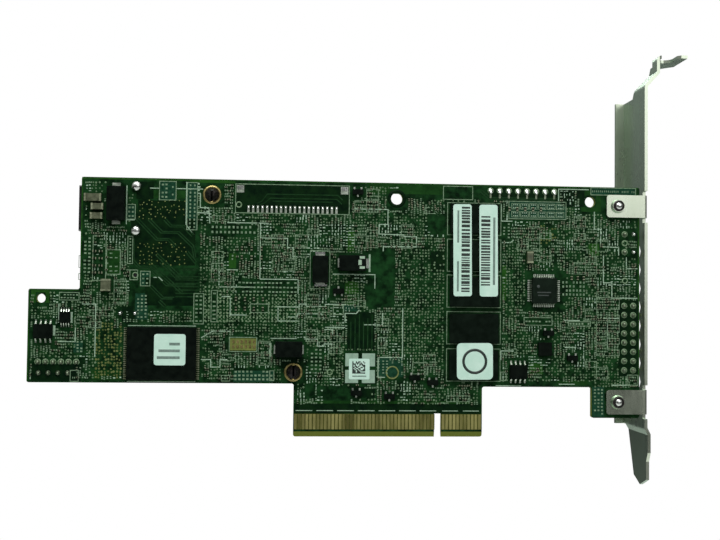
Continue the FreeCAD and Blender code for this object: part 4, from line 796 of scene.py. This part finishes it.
# --------------------------------------------------------- the other face
# the last four are the open holes
FRONT_CLEAR = [
    (11, 53, 44, 68.5), (43.5, 13.5, 74.5, 68.5), (111.6, 14, 127, 55.5), (70, 0, 122, 9.3),
    (156, 60, 166, 67.5), (156, 5.5, 166, 13), (160, 16.5, 166, 58), (122, 65, 143, 69), (21, 27.5, 31, 37.6),
    (95.4, 62.2, 100.2, 67), (149.2, 62.3, 154, 67.1), (1.2, 34, 6.2, 39), (82, 60.4, 85.2, 63.6),
]
for node_name in ("power_inductors", "inductor_terminals", "can_capacitor_bases", "power_switches", "crystal",
                  "status_lamps", "chip_terminals_front", "header_bodies"):
    FRONT_CLEAR += [grown(box, 0.4) for box in islands(node_name)]


def free_front(u, v, reach):
    return outside(u, v, reach, FRONT_CLEAR)


front_lands, front_bodies, front_ends, front_vias, front_ticks, front_frames = fields(23, free_front)
slabs("chip_lands_front", front_lands, 0.0, land_thick, FRONT, "soft_ink")
slabs("scattered_chips_front", front_bodies, 0.02, 0.34, FRONT, "dark_chip")
slabs("scattered_chip_ends_front", front_ends, 0.02, 0.36, FRONT, "tin")
slabs("legend_ticks_front", front_ticks, 0.0, legend_thick, FRONT, "ink")
ribbons("part_outlines_front", front_frames, 0.15, 0.032, FRONT, "soft_ink")
studs("vias_front", front_vias, 0.27, 0.03, FRONT, "via_ring", vary=(0.7, 1.1))


# -------------------------------------------------------------- label print
def printed(name, label, items, finish="print"):
    """Marks lying on a label: its outer face gives their lift."""
    lift = lift_of(label)
    slabs(name, items, lift, lift + legend_thick, BACK, finish)


def bars(low_u, high_u, low_v, high_v, seed):
    """A plain run of bars of random widths; it encodes nothing."""
    draw = random.Random(seed)
    items, v = [], low_v
    while v < high_v:
        thick = draw.choice((0.3, 0.38, 0.5, 0.75))
        items.append(((low_u + high_u) / 2, v + thick / 2, high_u - low_u, thick, 0))
        v += thick + draw.choice((0.22, 0.28, 0.36, 0.5))
    return items


printed("left_label_bars", "barcode_label_left", bars(115.5, 117.8, 39.4, 62.4, 3))
printed("right_label_bars", "barcode_label_right", bars(120.9, 123.4, 41.2, 59.8, 4))
# plain grey strips stand where a label's wording would be
printed("left_label_strips", "barcode_label_left", [(114.55, 43.6, 0.5, 8.2, 0), (114.55, 57.2, 0.5, 8.8, 0)],
        "grey_print")
printed("right_label_strips", "barcode_label_right", [(124.5, 50.6, 0.6, 18.4, 0)], "grey_print")
ring_lift = lift_of("ring_label")
lathe("ring_mark", [(119.35, 20.55)], washer(2.75, 3.45, ring_lift, ring_lift + legend_thick), BACK, 48,
      "print", hollow=True)
printed("flash_label_bars", "flash_label",
        [(38.6, 24.6, 2.8, 0.7, 0), (37.2, 22.8, 5.6, 0.7, 0), (37.0, 21.0, 6.0, 0.7, 0)], "grey_print")
# a square of random modules with two solid edges; it encodes nothing
module_draw = random.Random(9)
module_u, module_v = 0.32, 0.3
modules = [(86.1 + module_u * (i + 0.5), 17.0 + module_v * (j + 0.5), module_u, module_v, 0)
           for i in range(11) for j in range(11) if i == 0 or j == 0 or module_draw.random() < 0.48]
printed("code_label_modules", "code_label", modules)
printed("code_label_strip", "code_label", [(88.0, 16.3, 3.8, 0.3, 0)], "grey_print")

# solder balls in the thin gap under each memory chip: two rows of six, with a gap in the middle
balls = []
for box in islands("memory_chips_back"):
    u_mid, v_mid = centre(box)
    for i in (-3, -2, -1, 1, 2, 3):
        balls += [(u_mid + i * 1.7, v_mid + s * 3.6) for s in (-1, 1)]
studs("memory_balls_back", balls, 0.22, 0.3, BACK, "solder")

# pin-one dimple and marking bars on the logic package
logic_lift = lift_of("logic_controller")
lathe("logic_pin_one_mark", [(136.8, 41.1)], [(0.42, logic_lift), (0.4, logic_lift + 0.02)], BACK, 20,
      "laser")
slabs("logic_marking", [(138.4, 39.5, 3.8, 0.3, 0), (138.2, 38.7, 3.0, 0.3, 0)], logic_lift,
      logic_lift + 0.01, BACK, "laser")

# -------------------------------------------------------- camera and studio
# square to the solder face, then turned by small angles about the card's own axes
camera_turn = (Matrix.Rotation(math.radians(0.781), 3, "Z") @ Matrix.Rotation(math.radians(-4.588), 3, "Y")
               @ Matrix.Rotation(math.radians(-2.097), 3, "X"))
rows = camera_turn @ Matrix(((1, 0, 0), (0, 0, -1), (0, 1, 0)))
camera_data = bpy.data.cameras.new("camera")
camera_data.sensor_width = 36.0
camera_data.lens = 53.0
camera_data.clip_start, camera_data.clip_end = 0.01, 20.0
camera = bpy.data.objects.new("camera", camera_data)
bpy.context.scene.collection.objects.link(camera)
turn = Matrix((rows[0], -rows[1], -rows[2])).transposed().to_4x4()
camera.matrix_world = Matrix.Translation(Vector((-0.04459, -0.28726, 0.03452))) @ turn
bpy.context.scene.camera = camera

# the card hangs in its own frame, well above a pale floor
floor = cad_low.z - 1.0
floor_mesh = bpy.data.meshes.new("floor")
floor_mesh.from_pydata([(-3, -3, floor), (3, -3, floor), (3, 3, floor), (-3, 3, floor)], [], [(0, 1, 2, 3)])
floor_mesh.materials.append(surface("matt_floor_paint", "#f1f3f1", "#f6f7f6", 60.0, (0.85, 0.95)))
floor_piece = bpy.data.objects.new("floor", floor_mesh)
bpy.context.scene.collection.objects.link(floor_piece)

# the room that lights the card is dim at eye height and light overhead; the sweep seen behind
# it is plain white
world = bpy.data.worlds.new("studio")
bpy.context.scene.world = world
world.use_nodes = True
sky = world.node_tree
sky.nodes.clear()
direction = add(sky, "ShaderNodeSeparateXYZ", {"Vector": add(sky, "ShaderNodeTexCoord").outputs["Generated"]})
height = add(sky, "ShaderNodeMapRange", {"Value": direction.outputs["Z"], "From Min": 0.0, "From Max": 0.7,
                                         "To Min": 0.07, "To Max": 0.7})
room = add(sky, "ShaderNodeBackground", {"Color": hue("#f7faf7"), "Strength": height.outputs[0]})
sweep = add(sky, "ShaderNodeBackground", {"Color": hue("#ffffff"), "Strength": 1.0})
seen = add(sky, "ShaderNodeLightPath")
both = add(sky, "ShaderNodeMixShader",
           {0: seen.outputs["Is Camera Ray"], 1: room.outputs[0], 2: sweep.outputs[0]})
add(sky, "ShaderNodeOutputWorld", {"Surface": both.outputs[0]})


def lamp(name, place, size, power):
    light = bpy.data.lights.new(name, "AREA")
    light.shape = "RECTANGLE"
    light.size, light.size_y = size
    light.energy = power
    made = bpy.data.objects.new(name, light)
    made.location = place
    made.rotation_euler = (Vector((0, 0, 0.04)) - Vector(place)).to_track_quat("-Z", "Y").to_euler()
    bpy.context.scene.collection.objects.link(made)


lamp("key", (-0.1, -0.42, 0.78), (0.7, 0.4), 6.8)
lamp("upper_box", (0.38, -0.8, 0.34), (0.55, 0.5), 1.1)
lamp("back", (0.1, 0.6, 0.7), (0.8, 0.5), 7.0)
bpy.context.scene.view_settings.view_transform = "Standard"
